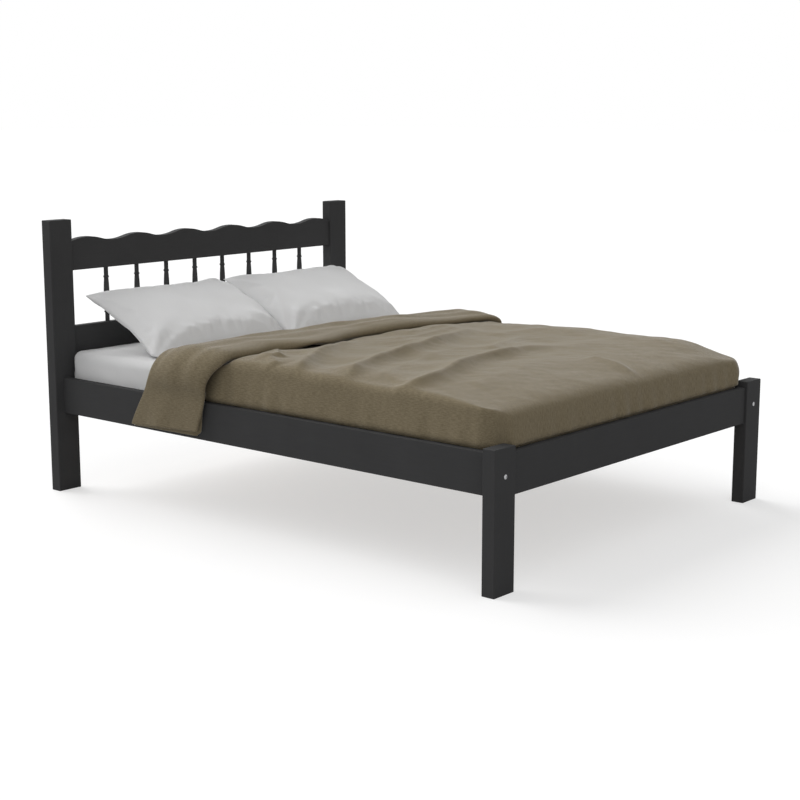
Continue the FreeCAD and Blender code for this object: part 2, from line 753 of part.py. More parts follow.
def comforter_turndown():
    """The folded-back head end: a second layer on top whose ends hang down outside the rails. Its view
    from the side, rounded at nose and hem, stands clear of its arched section, which makes the top."""
    across = new_body("turndown_across")
    section = sketch_on(across, "turndown_section", "XZ_Plane", f"overrun - {HEM_ALONG}")
    crowned = crowned_section(FLAP_OUTER, FLAP_BOTTOM, TURNDOWN_TOP, "turndown_corner", "turndown_crown")
    outline(section, crowned)
    pad(across, section, "turndown_width + flap_head_lean + 2 * overrun", backwards=True)
    clear_top = f"({TURNDOWN_TOP} + turndown_clear)"
    nose_curve = "(nose_round + turndown_clear)"
    hem_curve = "(hem_round + turndown_clear)"
    profile = new_body("turndown_profile")
    view = outline(sketch_on(profile, "turndown_view", "YZ_Plane"), [
        (f"{HEM_ALONG} + flap_foot_lean", f"{FLAP_BOTTOM} + flap_hem_rise"),
        (f"{NOSE_ALONG} + flap_head_lean", FLAP_BOTTOM),
        (NOSE_ALONG, SHEET_TOP),
        (NOSE_ALONG, f"{TURNDOWN_TOP} - nose_round", nose_curve, 1),
        (f"{NOSE_ALONG} - {nose_curve}", clear_top),
        (f"{HEM_ALONG} + {hem_curve}", clear_top, hem_curve, 1),
        (HEM_ALONG, f"{TURNDOWN_TOP} - hem_round"),
    ])
    pad(profile, view, f"2 * ({FLAP_OUTER} + overrun)", both_ways=True)
    turndown = combine("Common", "turndown_block", across, profile)
    inside = doc.addObject("Part::Box", "between_flaps")
    half = f"({SIDE_RAIL_OUTER} + soft_gap)"
    bind(inside, {
        "Length": f"2 * {half}",
        "Width": BED_LENGTH,
        "Height": f"{RAIL_TOP} + soft_gap",
    })
    place(inside, f"-{half}", f"-{BED_LENGTH} / 2")
    return combine("Cut", "turndown_layers", turndown, inside)


def leg_room(side):
    """The space of a foot leg with its clearance, which the comforter is tucked around."""
    room = doc.addObject("Part::Box", f"leg_room_{'right' if side > 0 else 'left'}")
    bind(room, {
        "Length": "post_width + 2 * soft_gap",
        "Width": "post_depth + 2 * soft_gap",
        "Height": f"{FOOT_LEG_HEIGHT} + soft_gap",
    })
    middle = f"{side} * {POST_ACROSS}"
    return place(room, f"{middle} - post_width / 2 - soft_gap", f"-{BED_LENGTH} / 2 - soft_gap")


def comforter():
    layers = combine("Fuse", "comforter_layers", comforter_spread(), comforter_turndown())
    for index, line_shares in enumerate(RIDGE_LINE_SHARES, start=1):
        ridge = comforter_ridge(f"ridge_{index}", line_shares)
        layers = combine("Fuse", f"comforter_ridged_{index}", layers, ridge)
    core = mattress_form("comforter_core", f"({SHEET_GROWTH} + soft_gap)", "rail_bottom")
    legs = combine("Fuse", "leg_rooms", leg_room(-1), leg_room(1))
    hollow = combine("Cut", "comforter_hollow", layers, core)
    return keep("comforter", combine("Cut", "comforter", hollow, legs))


def pillow(label, side):
    """A crowned pillow, thin and full-sized at its seams and drawn in between its corners, leaning
    against the headboard with its front edge on the sheet."""
    body = new_body(label)
    seam = "pillow_seam / 2"
    sections = []
    for index, (place_share, thick_share, height_share) in enumerate(PILLOW_SECTION_SHARES):
        lift = f"{place_share} * pillow_width / 2"
        section = sketch_on(body, f"{label}_section_{index}", "YZ_Plane", lift)
        half = f"({height_share} * pillow_height / 2)"
        rise = f"({thick_share} * (pillow_thick - pillow_seam) / 2)"
        bulge = f"({half}^2 / (2 * {rise}) + {rise} / 2)"
        sections.append(outline(section, [
            (f"-{half}", f"-{seam}", bulge, 1),
            (half, f"-{seam}"),
            (half, seam, bulge, 1),
            (f"-{half}", seam),
        ]))
    loft = body.newObject("PartDesign::AdditiveLoft", f"{label}_loft")
    loft.Profile = sections[0]
    loft.Sections = sections[1:]
    curve = "(pillow_height^2 / (8 * pillow_draw_in) + pillow_draw_in / 2)"
    for end in (-1, 1):
        edge = f"{end} * pillow_width / 2"
        past = f"{end} * (pillow_width / 2 + overrun)"
        hollow = sketch_on(body, f"{label}_end_{'right' if end > 0 else 'left'}", "XY_Plane")
        outline(hollow, [
            (edge, "-pillow_height / 2"),
            (past, "-pillow_height / 2 - overrun"),
            (past, "pillow_height / 2 + overrun"),
            (edge, "pillow_height / 2", curve, end),
        ])
        pocket(body, hollow, "pillow_thick", both_ways=True)
    body.Placement = Placement(Vector(), Rotation(Vector(1, 0, 0), number("pillow_tilt_degrees")))
    across = f"pillow_pair_across + {side} * (pillow_width + pillow_pair_gap) / 2"
    return keep(label, place(body, across, PILLOW_ALONG, f"{SHEET_TOP} + soft_gap + {PILLOW_RISE}"))


# The frame
low_tenon = tenon_span("rail_bottom", "rail_height")
lower_tenon = tenon_span(LOWER_RAIL_BOTTOM, "lower_rail_height")
top_tenon = tenon_span(TOP_RAIL_BOTTOM, TOP_RAIL_STRAIGHT)
for side_name, side in (("left", -1), ("right", 1)):
    post(f"head_post_{side_name}", HEAD_POST_HEIGHT, side, 1, [low_tenon, lower_tenon, top_tenon])
    post(f"foot_leg_{side_name}", FOOT_LEG_HEIGHT, side, -1, [low_tenon])
headboard_rails()
for index in range(int(number("spindle_count"))):
    spindle(f"spindle_{index + 1}", index)

# Bolts, nuts and dowels of the four corners
lying = Vector(1, 0, 0)
corners = [(side, end) for side in (-1, 1) for end in (-1, 1)]
keep("rail_bolts", group("rail_bolts", bolt(), [
    facing(f"{side} * {POST_ACROSS}", f"{end} * {BED_LENGTH} / 2", BOLT_LEVEL, lying, -90 * end)
    for side, end in corners]))
barrel_along = f"({SIDE_RAIL_LENGTH} / 2 - barrel_inset)"
keep("barrel_nuts", group("barrel_nuts", barrel_nut(), [
    facing(f"{side} * {POST_ACROSS}", f"{end} * {barrel_along}", BOLT_LEVEL, Vector(0, 1, 0), 90)
    for side, end in corners]))
keep("rail_dowels", group("rail_dowels", dowel(), [
    facing(f"{side} * {POST_ACROSS}", f"{end} * {SIDE_RAIL_LENGTH} / 2",
           f"{BOLT_LEVEL} + {step} * dowel_spread", lying, 90)
    for side, end in corners for step in (-1, 1)]))

# Cleats, beam and slats, with their screws
cleat_across = f"({SIDE_RAIL_INNER} - cleat_width / 2)"
rows = slat_row()
slat_holes = screw_group("slat_screws", "(slat_thick + screw_bite)", [
    facing(across, along, SLAT_TOP)
    for along in rows for across in (f"-{cleat_across}", "0", cleat_across)])
between = [f"{along} + {SLAT_PITCH} / 2" for along in rows[:-1:2]]
cleat_holes = screw_group("cleat_screws", "(cleat_width + screw_bite)", [
    facing(f"{side} * ({SIDE_RAIL_INNER} - cleat_width)", along, f"{SLAT_SEAT} - cleat_height / 2",
           Vector(0, 1, 0), -90 * side)
    for side in (-1, 1) for along in between])
flange_middle = "(beam_width / 2 + fit_gap + hanger_thick + hanger_flange / 2)"
flange_level = f"({BEAM_BOTTOM} - hanger_thick + hanger_height / 2)"
hanger_holes = screw_group("hanger_screws", "(hanger_thick + screw_bite)", [
    facing(f"{side} * {flange_middle}", f"{end} * ({CROSS_RAIL_INNER} - hanger_thick)",
           f"{flange_level} + {step} * hanger_height / 4", lying, 90 * end)
    for end in (-1, 1) for side in (-1, 1) for step in (-1, 1)])

for side_name, side in (("left", -1), ("right", 1)):
    rail = side_rail(f"side_rail_{side_name}", side)
    keep(f"side_rail_{side_name}", combine("Cut", f"side_rail_{side_name}", rail, cleat_holes))
    cleat = board(f"slat_cleat_{side_name}", "cleat_width", CLEAT_LENGTH, "cleat_height",
                  f"{side} * {cleat_across}", "0", f"{SLAT_SEAT} - cleat_height", "Y")
    held = combine("Cut", f"slat_cleat_{side_name}_held", cleat, cleat_holes)
    keep(f"slat_cleat_{side_name}", combine("Cut", f"slat_cleat_{side_name}", held, slat_holes))
for label, end in (("foot_rail", -1), ("head_cross_rail", 1)):
    rail = cross_rail(f"{label}_blank", end, "rail_bottom", "rail_height", "rail_height")
    keep(label, combine("Cut", label, rail, hanger_holes))
beam = board("centre_beam", "beam_width", f"2 * ({CROSS_RAIL_INNER} - beam_end_gap)", "beam_height",
             "0", "0", BEAM_BOTTOM, "Y")
keep("centre_beam", combine("Cut", "centre_beam", beam, slat_holes))
hanger("beam_hanger_foot", -1, hanger_holes)
hanger("beam_hanger_head", 1, hanger_holes)
for index, along in enumerate(rows, start=1):
    slat = board(f"slat_{index}", "slat_width", f"2 * ({SIDE_RAIL_INNER} - slat_end_gap)", "slat_thick",
                 "0", along, SLAT_SEAT, "X")
    keep(f"slat_{index}", combine("Cut", f"slat_{index}", slat, slat_holes))

# The bedding
keep("mattress", mattress_form("mattress", "0", SLAT_TOP, rounded_below=True))
hem = f"({SLAT_TOP} + sheet_hem_rise)"
sheet_outside = mattress_form("sheet_outside", SHEET_GROWTH, hem)
sheet_inside = mattress_form("sheet_inside", "sheet_gap", "rail_bottom")
keep("fitted_sheet", combine("Cut", "fitted_sheet", sheet_outside, sheet_inside))
comforter()
pillow("pillow_left", -1)
pillow("pillow_right", 1)

doc.recompute()
faulty = [thing.Label for thing in doc.Objects if {"Invalid", "Error"} & set(thing.State)]
if faulty:
    raise RuntimeError(f"These objects failed: {faulty}")
for label, thing in nodes.items():
    if thing.Shape.isNull() or not thing.Shape.isValid():
        raise RuntimeError(f"{label} has no valid shape")
os.makedirs("parts", exist_ok=True)
for label, thing in nodes.items():
    thing.Shape.exportStep(f"parts/{label}.step")
    print(label, len(thing.Shape.Solids), round(thing.Shape.Volume))
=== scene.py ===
"""Looks of a dressed double bed with a spindle headboard, laid out as an add-on and run as a script."""

import json
import math

import bpy
import numpy as np
from bpy.props import FloatProperty, FloatVectorProperty, IntProperty, PointerProperty
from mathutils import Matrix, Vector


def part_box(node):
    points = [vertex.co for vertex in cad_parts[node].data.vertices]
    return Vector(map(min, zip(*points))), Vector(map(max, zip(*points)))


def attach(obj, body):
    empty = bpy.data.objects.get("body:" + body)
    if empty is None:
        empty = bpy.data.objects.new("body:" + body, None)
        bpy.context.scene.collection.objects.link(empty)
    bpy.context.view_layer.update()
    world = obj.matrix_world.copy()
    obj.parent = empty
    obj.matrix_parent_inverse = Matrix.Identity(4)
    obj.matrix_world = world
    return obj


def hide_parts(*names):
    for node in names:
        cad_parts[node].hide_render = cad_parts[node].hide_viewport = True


bl_info = {
    "name": "Dressed double bed",
    "version": (1, 0, 0),
    "blender": (4, 5, 0),
    "location": "View3D > Sidebar > Bed",
    "description": "Bedding and finishes for a double bed with a spindle headboard",
    "category": "Object",
}

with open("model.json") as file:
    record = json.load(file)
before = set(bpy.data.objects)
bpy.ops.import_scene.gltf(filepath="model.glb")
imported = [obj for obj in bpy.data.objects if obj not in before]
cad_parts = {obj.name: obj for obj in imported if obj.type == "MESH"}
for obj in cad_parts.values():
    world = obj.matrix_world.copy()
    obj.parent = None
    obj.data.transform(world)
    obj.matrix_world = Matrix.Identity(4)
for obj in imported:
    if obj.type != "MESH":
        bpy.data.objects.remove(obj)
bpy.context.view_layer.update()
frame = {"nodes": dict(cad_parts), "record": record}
SHEET_LOW, SHEET_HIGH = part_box("fitted_sheet")
MATTRESS_LOW, MATTRESS_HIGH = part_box("mattress")
COMFORTER_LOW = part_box("comforter")[0]
RAIL_LOW, RAIL_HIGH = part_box("side_rail_left")
PILLOWS = ("pillow_left", "pillow_right")
COMFORTER_TOP = 0.5405  # height of the spread comforter's edges above the floor
MATTRESS_EDGE = 0.034  # radius over the mattress's top edge at its foot
TINY = 1e-9  # keeps a division off zero
FULL_TURN = 2.0 * math.pi
# spacing of the mattress cover's broad and fine stripes and of its quilting, and of the cloths' threads
STRIPE_PITCH, FINE_PITCH, QUILT_PITCH = 0.046, 0.0115, 0.085
COTTON_THREAD, COMFORTER_THREAD = 0.0011, 0.0024
KNOT_BROWN = (0.20, 0.10, 0.045)


def shade(name, description, default):
    """A colour that a user can change."""
    return FloatVectorProperty(name=name, description=description, default=default, subtype="COLOR",
                               size=3, min=0.0, max=1.0)


def length(name, description, default):
    """A length that a user can change."""
    return FloatProperty(name=name, description=description, default=default, unit="LENGTH")


def strength(name, description, default):
    """A plain number that a user can change."""
    return FloatProperty(name=name, description=description, default=default)


def angle(name, description, degrees):
    """An angle that a user can change, given in degrees."""
    return FloatProperty(name=name, description=description, default=math.radians(degrees), subtype="ANGLE")


class BedColours(bpy.types.PropertyGroup):
    """Colours of the finishes, as linear values."""

    paint: shade("Paint", "Charcoal paint of the frame", (0.052, 0.052, 0.053))
    pine: shade("Pine", "Pale wood of the slats", (0.66, 0.46, 0.25))
    pine_dark: shade("Pine rings", "Late wood of the slats", (0.42, 0.24, 0.10))
    zinc: shade("Zinc", "Plated bolts, nuts and screws", (0.42, 0.42, 0.43))
    galvanised: shade("Galvanised", "Sheet steel of the hangers", (0.55, 0.57, 0.59))
    ticking: shade("Ticking", "Cover of the mattress", (0.62, 0.61, 0.58))
    ticking_stripe: shade("Ticking stripe", "Stripe and edge tape of the mattress", (0.34, 0.36, 0.40))
    sheet: shade("Sheet", "Fitted sheet", (0.70, 0.70, 0.70))
    comforter: shade("Comforter", "Light thread of the comforter", (0.222, 0.182, 0.115))
    comforter_dark: shade("Comforter shade", "Dark thread of the comforter", (0.148, 0.121, 0.075))
    pillow: shade("Pillow", "Pillow cover", (0.80, 0.80, 0.80))
    floor: shade("Floor", "Studio floor", (0.50, 0.50, 0.50))


class BeddingSizes(bpy.types.PropertyGroup):
    """Sizes of the soft pieces that follow the bed."""

    cell: length("Cell", "Spacing of the comforter's surface grid", 0.0092)
    shoulder: length("Shoulder", "Radius over the comforter's near top edge", 0.024)
    shoulder_far: length("Far shoulder", "Radius over the comforter's far top edge", 0.058)
    shoulder_foot: length("Foot shoulder", "Radius over the comforter's foot edge", 0.060)
    foot_droop: length("Foot droop", "How far the comforter's top sinks towards its foot edge", 0.026)
    foot_reach: length("Foot reach", "Length over which the comforter's top sinks", 0.28)
    corner: length("Corner", "Radius of the comforter's foot corners in plan", 0.07)
    crown: length("Crown", "Rise of the comforter's middle above its edges", 0.009)
    far_swell: length("Far swell", "Rise of the comforter along its far edge", 0.010)
    trough: length("Trough", "Depth pressed into the comforter by its turned-down end", 0.018)
    tuck: length("Tuck", "Depth of the comforter's skirt below the rail top", 0.034)
    fold_thick: length("Fold thickness", "Thickness of the turned-down layer behind its hem", 0.047)
    hem_thick: length("Hem thickness", "Thickness of the turned-down layer at its hem", 0.043)
    nose_thick: length("Nose thickness", "Thickness of the turned-down layer at its nose", 0.025)
    nose_drop: length("Nose drop", "Depth of the fold's nose below the turned-down layer", 0.033)
    fold_shoulder: length("Fold shoulder", "Radius of the turned-down layer over the bed's edge", 0.080)
    flap_thick: length("Flap thickness", "Thickness of one layer of the hanging ends", 0.011)
    sheet_cloth: length("Sheet cloth", "Thickness of the sheet", 0.001)
    pillow_wide: length("Pillow width", "Width of a filled pillow", 0.676)
    pillow_long: length("Pillow length", "Length of a filled pillow", 0.440)
    pillow_crown: length("Pillow crown", "Height of a pillow above its seam", 0.050)
    pillow_belly: length("Pillow belly", "Depth of a pillow below its seam", 0.058)
    pillow_hang: length("Pillow hang", "How far a pillow's front corners hang", 0.020)
    pillow_lift: length("Pillow lift", "Height of a pillow's seam above the middle of its place", 0.008)
    pillow_cap: length("Pillow cap", "Furthest that air moves a pillow's cloth", 0.014)
    pillow_seam: length("Pillow seam", "Spacing of the pillow's surface grid", 0.0075)
    pillow_slope: angle("Pillow slope", "Lean of the pillows on the headboard", 24.5)
    pillow_frames: IntProperty(name="Pillow frames", description="Steps of the cloth run", default=20, min=1)
    pillow_pressure: strength("Pillow pressure", "Air that fills the pillow", 3.0)


class StageSettings(bpy.types.PropertyGroup):
    """Camera and light of the studio."""

    lens: FloatProperty(name="Lens", description="Focal length on a 36 mm sensor", default=71.74,
                        unit="CAMERA")
    eye: FloatVectorProperty(name="Eye", description="Place of the camera", size=3, subtype="TRANSLATION",
                             default=(-4.1768, -3.5603, 1.3673))
    yaw: angle("Yaw", "Turn of the view from the head direction", 49.549)
    pitch: angle("Pitch", "Tilt of the view", -10.628)
    ambient: strength("Ambient", "Even light from all round", 0.44)
    key: strength("Key", "Strength of the soft light from behind the headboard", 2.85)
    fill: strength("Fill", "Strength of the soft light from above the eye", 0.50)
    glow: strength("Glow", "White that the floor shows to the eye by itself", 0.54)


def colour(name):
    """One of the finishes' colours."""
    return tuple(getattr(bpy.context.scene.bed_colours, name))


def sizes():
    """The sizes of the soft pieces."""
    return bpy.context.scene.bedding_sizes


def sum_of(operation, swapped=False):
    """A method that adds one Math node; swapped puts the other value first, as 1 - mask needs."""
    def method(wire, *others):
        return wire.math(operation, *((*others, wire) if swapped else (wire, *others)))
    return method


class Wire:
    """A shader socket that takes part in sums: each operator adds one Math node."""

    __add__, __radd__ = sum_of("ADD"), sum_of("ADD", swapped=True)
    __sub__, __rsub__ = sum_of("SUBTRACT"), sum_of("SUBTRACT", swapped=True)
    __mul__, __rmul__ = sum_of("MULTIPLY"), sum_of("MULTIPLY", swapped=True)
    __pow__ = sum_of("POWER")
    sine, size = sum_of("SINE"), sum_of("ABSOLUTE")
    top, low = sum_of("MAXIMUM"), sum_of("MINIMUM")

    def __init__(self, finish, socket):
        self.finish = finish
        self.socket = socket

    def math(self, operation, *values):
        """One Math node with these values in its sockets."""
        return self.finish.node("ShaderNodeMath", {"operation": operation}, dict(enumerate(values)))

    def ramp(self, start, end):
        """0 below start, 1 above end, eased between them."""
        return self.finish.node("ShaderNodeMapRange", {"interpolation_type": "SMOOTHSTEP"},
                                {"Value": self, "From Min": start, "From Max": end})


class Finish:
    """One procedural material: a principled shader and the nodes that feed it."""

    def __init__(self, name):
        self.material = bpy.data.materials.new(name)
        self.material.use_nodes = True
        self.tree = self.material.node_tree
        self.tree.nodes.clear()
        self.output = self.tree.nodes.new("ShaderNodeOutputMaterial")

    def node(self, kind, settings=None, inputs=None, out=0):
        """Adds a node of that type, sets it up, then fills or links its sockets; returns one output."""
        made = self.tree.nodes.new(kind)
        for name, value in (settings or {}).items():
            setattr(made, name, value)
        for name, value in (inputs or {}).items():
            self.put(made.inputs[name], value)
        return Wire(self, made.outputs[out])

    def put(self, socket, value):
        """Links a wire to a socket, or sets a constant on it."""
        if isinstance(value, Wire):
            self.tree.links.new(value.socket, socket)
        elif socket.type == "RGBA" and len(value) == 3:
            socket.default_value = (*value, 1.0)
        else:
            socket.default_value = value

    def place(self, scale=(1.0, 1.0, 1.0), uv=False):
        """Object coordinates in metres, or the piece's own map, scaled."""
        source = self.node("ShaderNodeTexCoord", out="UV" if uv else "Object")
        return self.node("ShaderNodeMapping", None, {"Vector": source, "Scale": scale})

    def parts(self, vector):
        """The three values of a vector."""
        split = self.node("ShaderNodeSeparateXYZ", None, {"Vector": vector})
        return [Wire(self, socket) for socket in split.socket.node.outputs]

    def noise(self, place, scale, detail=2.0, rough=0.5, warp=0.0):
        """Fractal noise of that scale, about 0 to 1."""
        return self.node("ShaderNodeTexNoise", None, {"Vector": place, "Scale": scale, "Detail": detail,
                                                      "Roughness": rough, "Distortion": warp})

    def mix(self, share, first, second):
        """A colour between first and second."""
        return self.node("ShaderNodeMix", {"data_type": "RGBA"}, {0: share, 6: first, 7: second}, out=2)

    def tint(self, share, shade):
        """A colour darkened or lightened by a value."""
        return self.node("ShaderNodeVectorMath", {"operation": "SCALE"}, {0: shade, "Scale": share})

    def bump(self, height, depth, strength=1.0, under=None):
        """A normal tilted by a height's slopes, over another bump where one is given."""
        inputs = {"Height": height, "Distance": depth, "Strength": strength}
        if under is not None:
            inputs["Normal"] = under
        return self.node("ShaderNodeBump", None, inputs)

    def surface(self, **sockets):
        """Joins a principled shader with these sockets to the output; _ in a name stands for a space."""
        shader = self.node("ShaderNodeBsdfPrincipled", None,
                           {name.replace("_", " "): value for name, value in sockets.items()})
        self.tree.links.new(shader.socket, self.output.inputs["Surface"])
        return self.material


def paint_finish(axis):
    """Satin charcoal paint brushed along a board: the wood's grain shows faintly through it."""
    finish = Finish("charcoal_paint_" + axis)
    stretch = {"x": (0.06, 1.0, 1.0), "y": (1.0, 0.06, 1.0), "z": (1.0, 1.0, 0.06)}[axis]
    along = finish.place(stretch)
    grain = finish.noise(along, 260.0, 4.0, 0.62)
    pores = finish.noise(along, 900.0, 2.0, 0.5)
    cloud = finish.noise(finish.place(), 7.0, 3.0, 0.5)
    level = 0.82 + cloud * 0.22 + grain * 0.16
    shade = finish.tint(level, colour("paint"))
    rough = 0.60 + cloud * 0.10 + grain * 0.08
    relief = finish.bump(grain * 0.7 + pores * 0.3, 0.0005, 0.35)
    return finish.surface(Base_Color=shade, Roughness=rough, Normal=relief, Specular_IOR_Level=0.04)


def pine_finish(axis):
    """Planed pine: stretched growth rings, fine fibres and a few knots."""
    finish = Finish("bare_pine_" + axis)
    stretch = {"x": (0.035, 1.0, 1.0), "y": (1.0, 0.035, 1.0)}[axis]
    along = finish.place(stretch)
    drift = finish.noise(along, 9.0, 2.0, 0.5)
    rings = (finish.noise(along, 26.0, 1.0, 0.4) * 46.0 + drift * 9.0).sine() * 0.5 + 0.5
    fibre = finish.noise(along, 620.0, 3.0, 0.6)
    spots = finish.node("ShaderNodeTexVoronoi", {"feature": "F1"},
                        {"Vector": finish.place(tuple(0.4 + 0.6 * part for part in stretch)), "Scale": 5.2})
    knot = 1.0 - spots.ramp(0.05, 0.13)
    late = (rings ** 2.4) * 0.55 + fibre * 0.16
    wood = finish.mix(late, colour("pine"), colour("pine_dark"))
    wood = finish.mix(knot * 0.75, wood, KNOT_BROWN)
    relief = finish.bump(fibre * 0.6 + rings * 0.4, 0.0004, 0.4)
    return finish.surface(Base_Color=wood, Roughness=0.52 + fibre * 0.16, Normal=relief)


def zinc_finish():
    """Bright plated steel with a faint cloud and fine turning marks."""
    finish = Finish("zinc_plate")
    cloud = finish.noise(finish.place(), 180.0, 3.0, 0.55)
    marks = finish.noise(finish.place((1.0, 1.0, 0.2)), 2400.0, 2.0, 0.5)
    shade = finish.tint(0.84 + cloud * 0.3, colour("zinc"))
    return finish.surface(Base_Color=shade, Metallic=1.0, Roughness=0.24 + cloud * 0.18,
                          Normal=finish.bump(marks, 0.0001, 0.25))


def galvanised_finish():
    """Hot-dipped sheet: a spangle of flat crystals, each a little lighter or duller than the next."""
    finish = Finish("galvanised_sheet")
    cells = finish.node("ShaderNodeTexVoronoi", {"feature": "F1"},
                        {"Vector": finish.place(), "Scale": 130.0, "Randomness": 1.0}, out="Color")
    spangle, second, _ = finish.parts(cells)
    shade = finish.tint(0.74 + spangle * 0.42, colour("galvanised"))
    return finish.surface(Base_Color=shade, Metallic=1.0, Roughness=0.36 + second * 0.22,
                          Normal=finish.bump(spangle, 0.0002, 0.2))


def ticking_finish():
    """Striped mattress cover, quilted in diamonds, with a darker tape along its edges."""
    finish = Finish("mattress_ticking")
    x, y, z = finish.parts(finish.place())
    stripe = (x * (FULL_TURN / STRIPE_PITCH)).sine().ramp(0.55, 0.8)
    fine = (x * (FULL_TURN / FINE_PITCH)).sine().ramp(0.7, 0.95) * 0.4
    low, high = MATTRESS_LOW.z, MATTRESS_HIGH.z
    middle, reach = (low + high) / 2, (high - low) / 2
    height = (z - middle).size()
    tape = height.ramp(reach - 0.034, reach - 0.032) * (1.0 - height.ramp(reach - 0.016, reach - 0.014))
    thread = finish.noise(finish.place(), 700.0, 2.0, 0.6)
    cloth = finish.mix(stripe.top(fine) * 0.8, colour("ticking"), colour("ticking_stripe"))
    cloth = finish.mix(tape, cloth, colour("ticking_stripe"))
    cloth = finish.tint(0.88 + thread * 0.24, cloth)
    pitch = math.pi / QUILT_PITCH
    seam = (((x + y) * pitch).sine().size()).low(((x - y) * pitch).sine().size())
    relief = finish.bump(seam.ramp(0.0, 0.55), 0.004, 0.5, finish.bump(thread, 0.0004, 0.5))
    return finish.surface(Base_Color=cloth, Roughness=0.86, Normal=relief, Sheen_Weight=0.08)


def cotton_finish(name, shade, wrinkle):
    """Plain woven cotton on the piece's own map in metres: fine threads, soft creases and faint mottling."""
    finish = Finish(name)
    flat = finish.place(uv=True)
    u, v, _ = finish.parts(flat)
    thread = FULL_TURN / COTTON_THREAD
    weave = (u * thread).sine() * (v * thread).sine() * 0.5 + 0.5
    slub = finish.noise(finish.place((1.0, 0.14, 1.0), uv=True), 900.0, 2.0, 0.6)
    cloud = finish.noise(flat, 6.0, 3.0, 0.5)
    crease = finish.node("ShaderNodeTexNoise", {"noise_type": "RIDGED_MULTIFRACTAL"},
                         {"Vector": flat, "Scale": 5.5, "Detail": 3.0, "Roughness": 0.5, "Distortion": 0.4})
    cloth = finish.tint(0.93 + cloud * 0.08 + slub * 0.06, shade)
    folds = finish.bump(crease, 0.010, wrinkle)
    relief = finish.bump(weave * 0.6 + slub * 0.4, 0.0004, 0.45, folds)
    return finish.surface(Base_Color=cloth, Roughness=0.84 + slub * 0.1, Normal=relief, Sheen_Weight=0.12,
                          Specular_IOR_Level=0.25)


def comforter_finish():
    """Two-tone slubbed weave on the comforter's own map in metres: u crosses the bed and v runs along it.

    Long dark and light slubs follow v, shorter ones follow u, over a fine thread pattern.
    """
    finish = Finish("comforter_weave")
    flat = finish.place(uv=True)
    u, v, _ = finish.parts(flat)
    thread = FULL_TURN / COMFORTER_THREAD
    weave = (u * thread).sine() * (v * thread).sine() * 0.5 + 0.5
    along = finish.noise(finish.place((1.0, 0.15, 1.0), uv=True), 380.0, 1.0, 0.6)
    across = finish.noise(finish.place((0.3, 1.0, 1.0), uv=True), 330.0, 1.0, 0.6)
    speck = finish.noise(flat, 270.0, 1.0, 0.6)
    cloud = finish.noise(flat, 3.2, 3.0, 0.55)
    slub = along * 0.62 + across * 0.10 + speck * 0.28
    share = slub.ramp(0.36, 0.64) * 0.80 + cloud * 0.12 + weave * 0.08
    cloth = finish.mix(share, colour("comforter_dark"), colour("comforter"))
    creases = finish.noise(finish.place((1.0, 0.7, 1.0), uv=True), 16.0, 3.0, 0.5, 0.5)
    folds = finish.bump(creases, 0.006, 0.11)
    relief = finish.bump(slub * 0.7 + weave * 0.3, 0.0012, 0.5, folds)
    return finish.surface(Base_Color=cloth, Roughness=0.88 + along * 0.08, Normal=relief, Sheen_Weight=0.38,
                          Sheen_Roughness=0.3, Specular_IOR_Level=0.2)


def ease(value, start, end):
    """0 below start, 1 above end, and a smooth cubic between them."""
    share = np.clip((value - start) / (end - start), 0.0, 1.0)
    return share * share * (3.0 - 2.0 * share)


def ripple(a, b, shortest, longest, count, seed):
    """Sum of plane waves over a and b with random headings, lengths and phases, about -1 to 1."""
    chance = np.random.default_rng(seed)
    heading = chance.uniform(0.0, 2.0 * np.pi, count)
    wave = 2.0 * np.pi / np.exp(chance.uniform(np.log(shortest), np.log(longest), count))
    phase = chance.uniform(0.0, 2.0 * np.pi, count)
    turns = a[..., None] * (wave * np.cos(heading)) + b[..., None] * (wave * np.sin(heading)) + phase
    return np.sin(turns).sum(-1) / np.sqrt(count)


def along_line(a, b, points):
    """For each place: its signed distance from a line of points and its share of the way along it.

    The nearest point of each straight run is found by projection, and the nearest run is kept.
    """
    points = np.asarray(points, float)
    start, run = points[:-1], np.diff(points, axis=0)
    long = np.hypot(run[:, 0], run[:, 1])
    reach = np.concatenate([[0.0], np.cumsum(long)])
    off_a, off_b = a[..., None] - start[:, 0], b[..., None] - start[:, 1]
    share = np.clip((off_a * run[:, 0] + off_b * run[:, 1]) / long ** 2, 0.0, 1.0)
    gap_a, gap_b = off_a - share * run[:, 0], off_b - share * run[:, 1]
    gap = np.hypot(gap_a, gap_b)
    side = np.sign(run[:, 0] * off_b - run[:, 1] * off_a)
    best = gap.argmin(-1)[..., None]

    def pick(values):
        return np.take_along_axis(values, best, -1)[..., 0]
    nearest = best[..., 0]
    return pick(gap * side), (reach[nearest] + pick(share) * long[nearest]) / reach[-1]


def curve(points, steps=8):
    """A smooth line through points: a cubic between each two, whose slopes come from their neighbours."""
    points = np.asarray(points, float)
    slope = np.gradient(points, axis=0)
    share = np.linspace(0.0, 1.0, steps, endpoint=False)[:, None, None]
    run = ((2 * share ** 3 - 3 * share ** 2 + 1) * points[:-1]
           + (share ** 3 - 2 * share ** 2 + share) * slope[:-1]
           + (3 * share ** 2 - 2 * share ** 3) * points[1:] + (share ** 3 - share ** 2) * slope[1:])
    return np.concatenate([np.moveaxis(run, 0, 1).reshape(-1, 2), points[-1:]])


def fold_line(a, b, points, height, left, right):
    """A ridge along a smooth line: height x exp(-(distance / width)^1.25).

    It has a width of its own on each side, and it is faded in over its near end and out over its far one.
    """
    gap, share = along_line(a, b, curve(points))
    width = np.where(gap > 0.0, left, right)
    fade = ease(share, 0.0, 0.13) * ease(1.0 - share, 0.0, 0.36)
    return height * fade * np.exp(-((np.abs(gap) / width) ** 1.25))


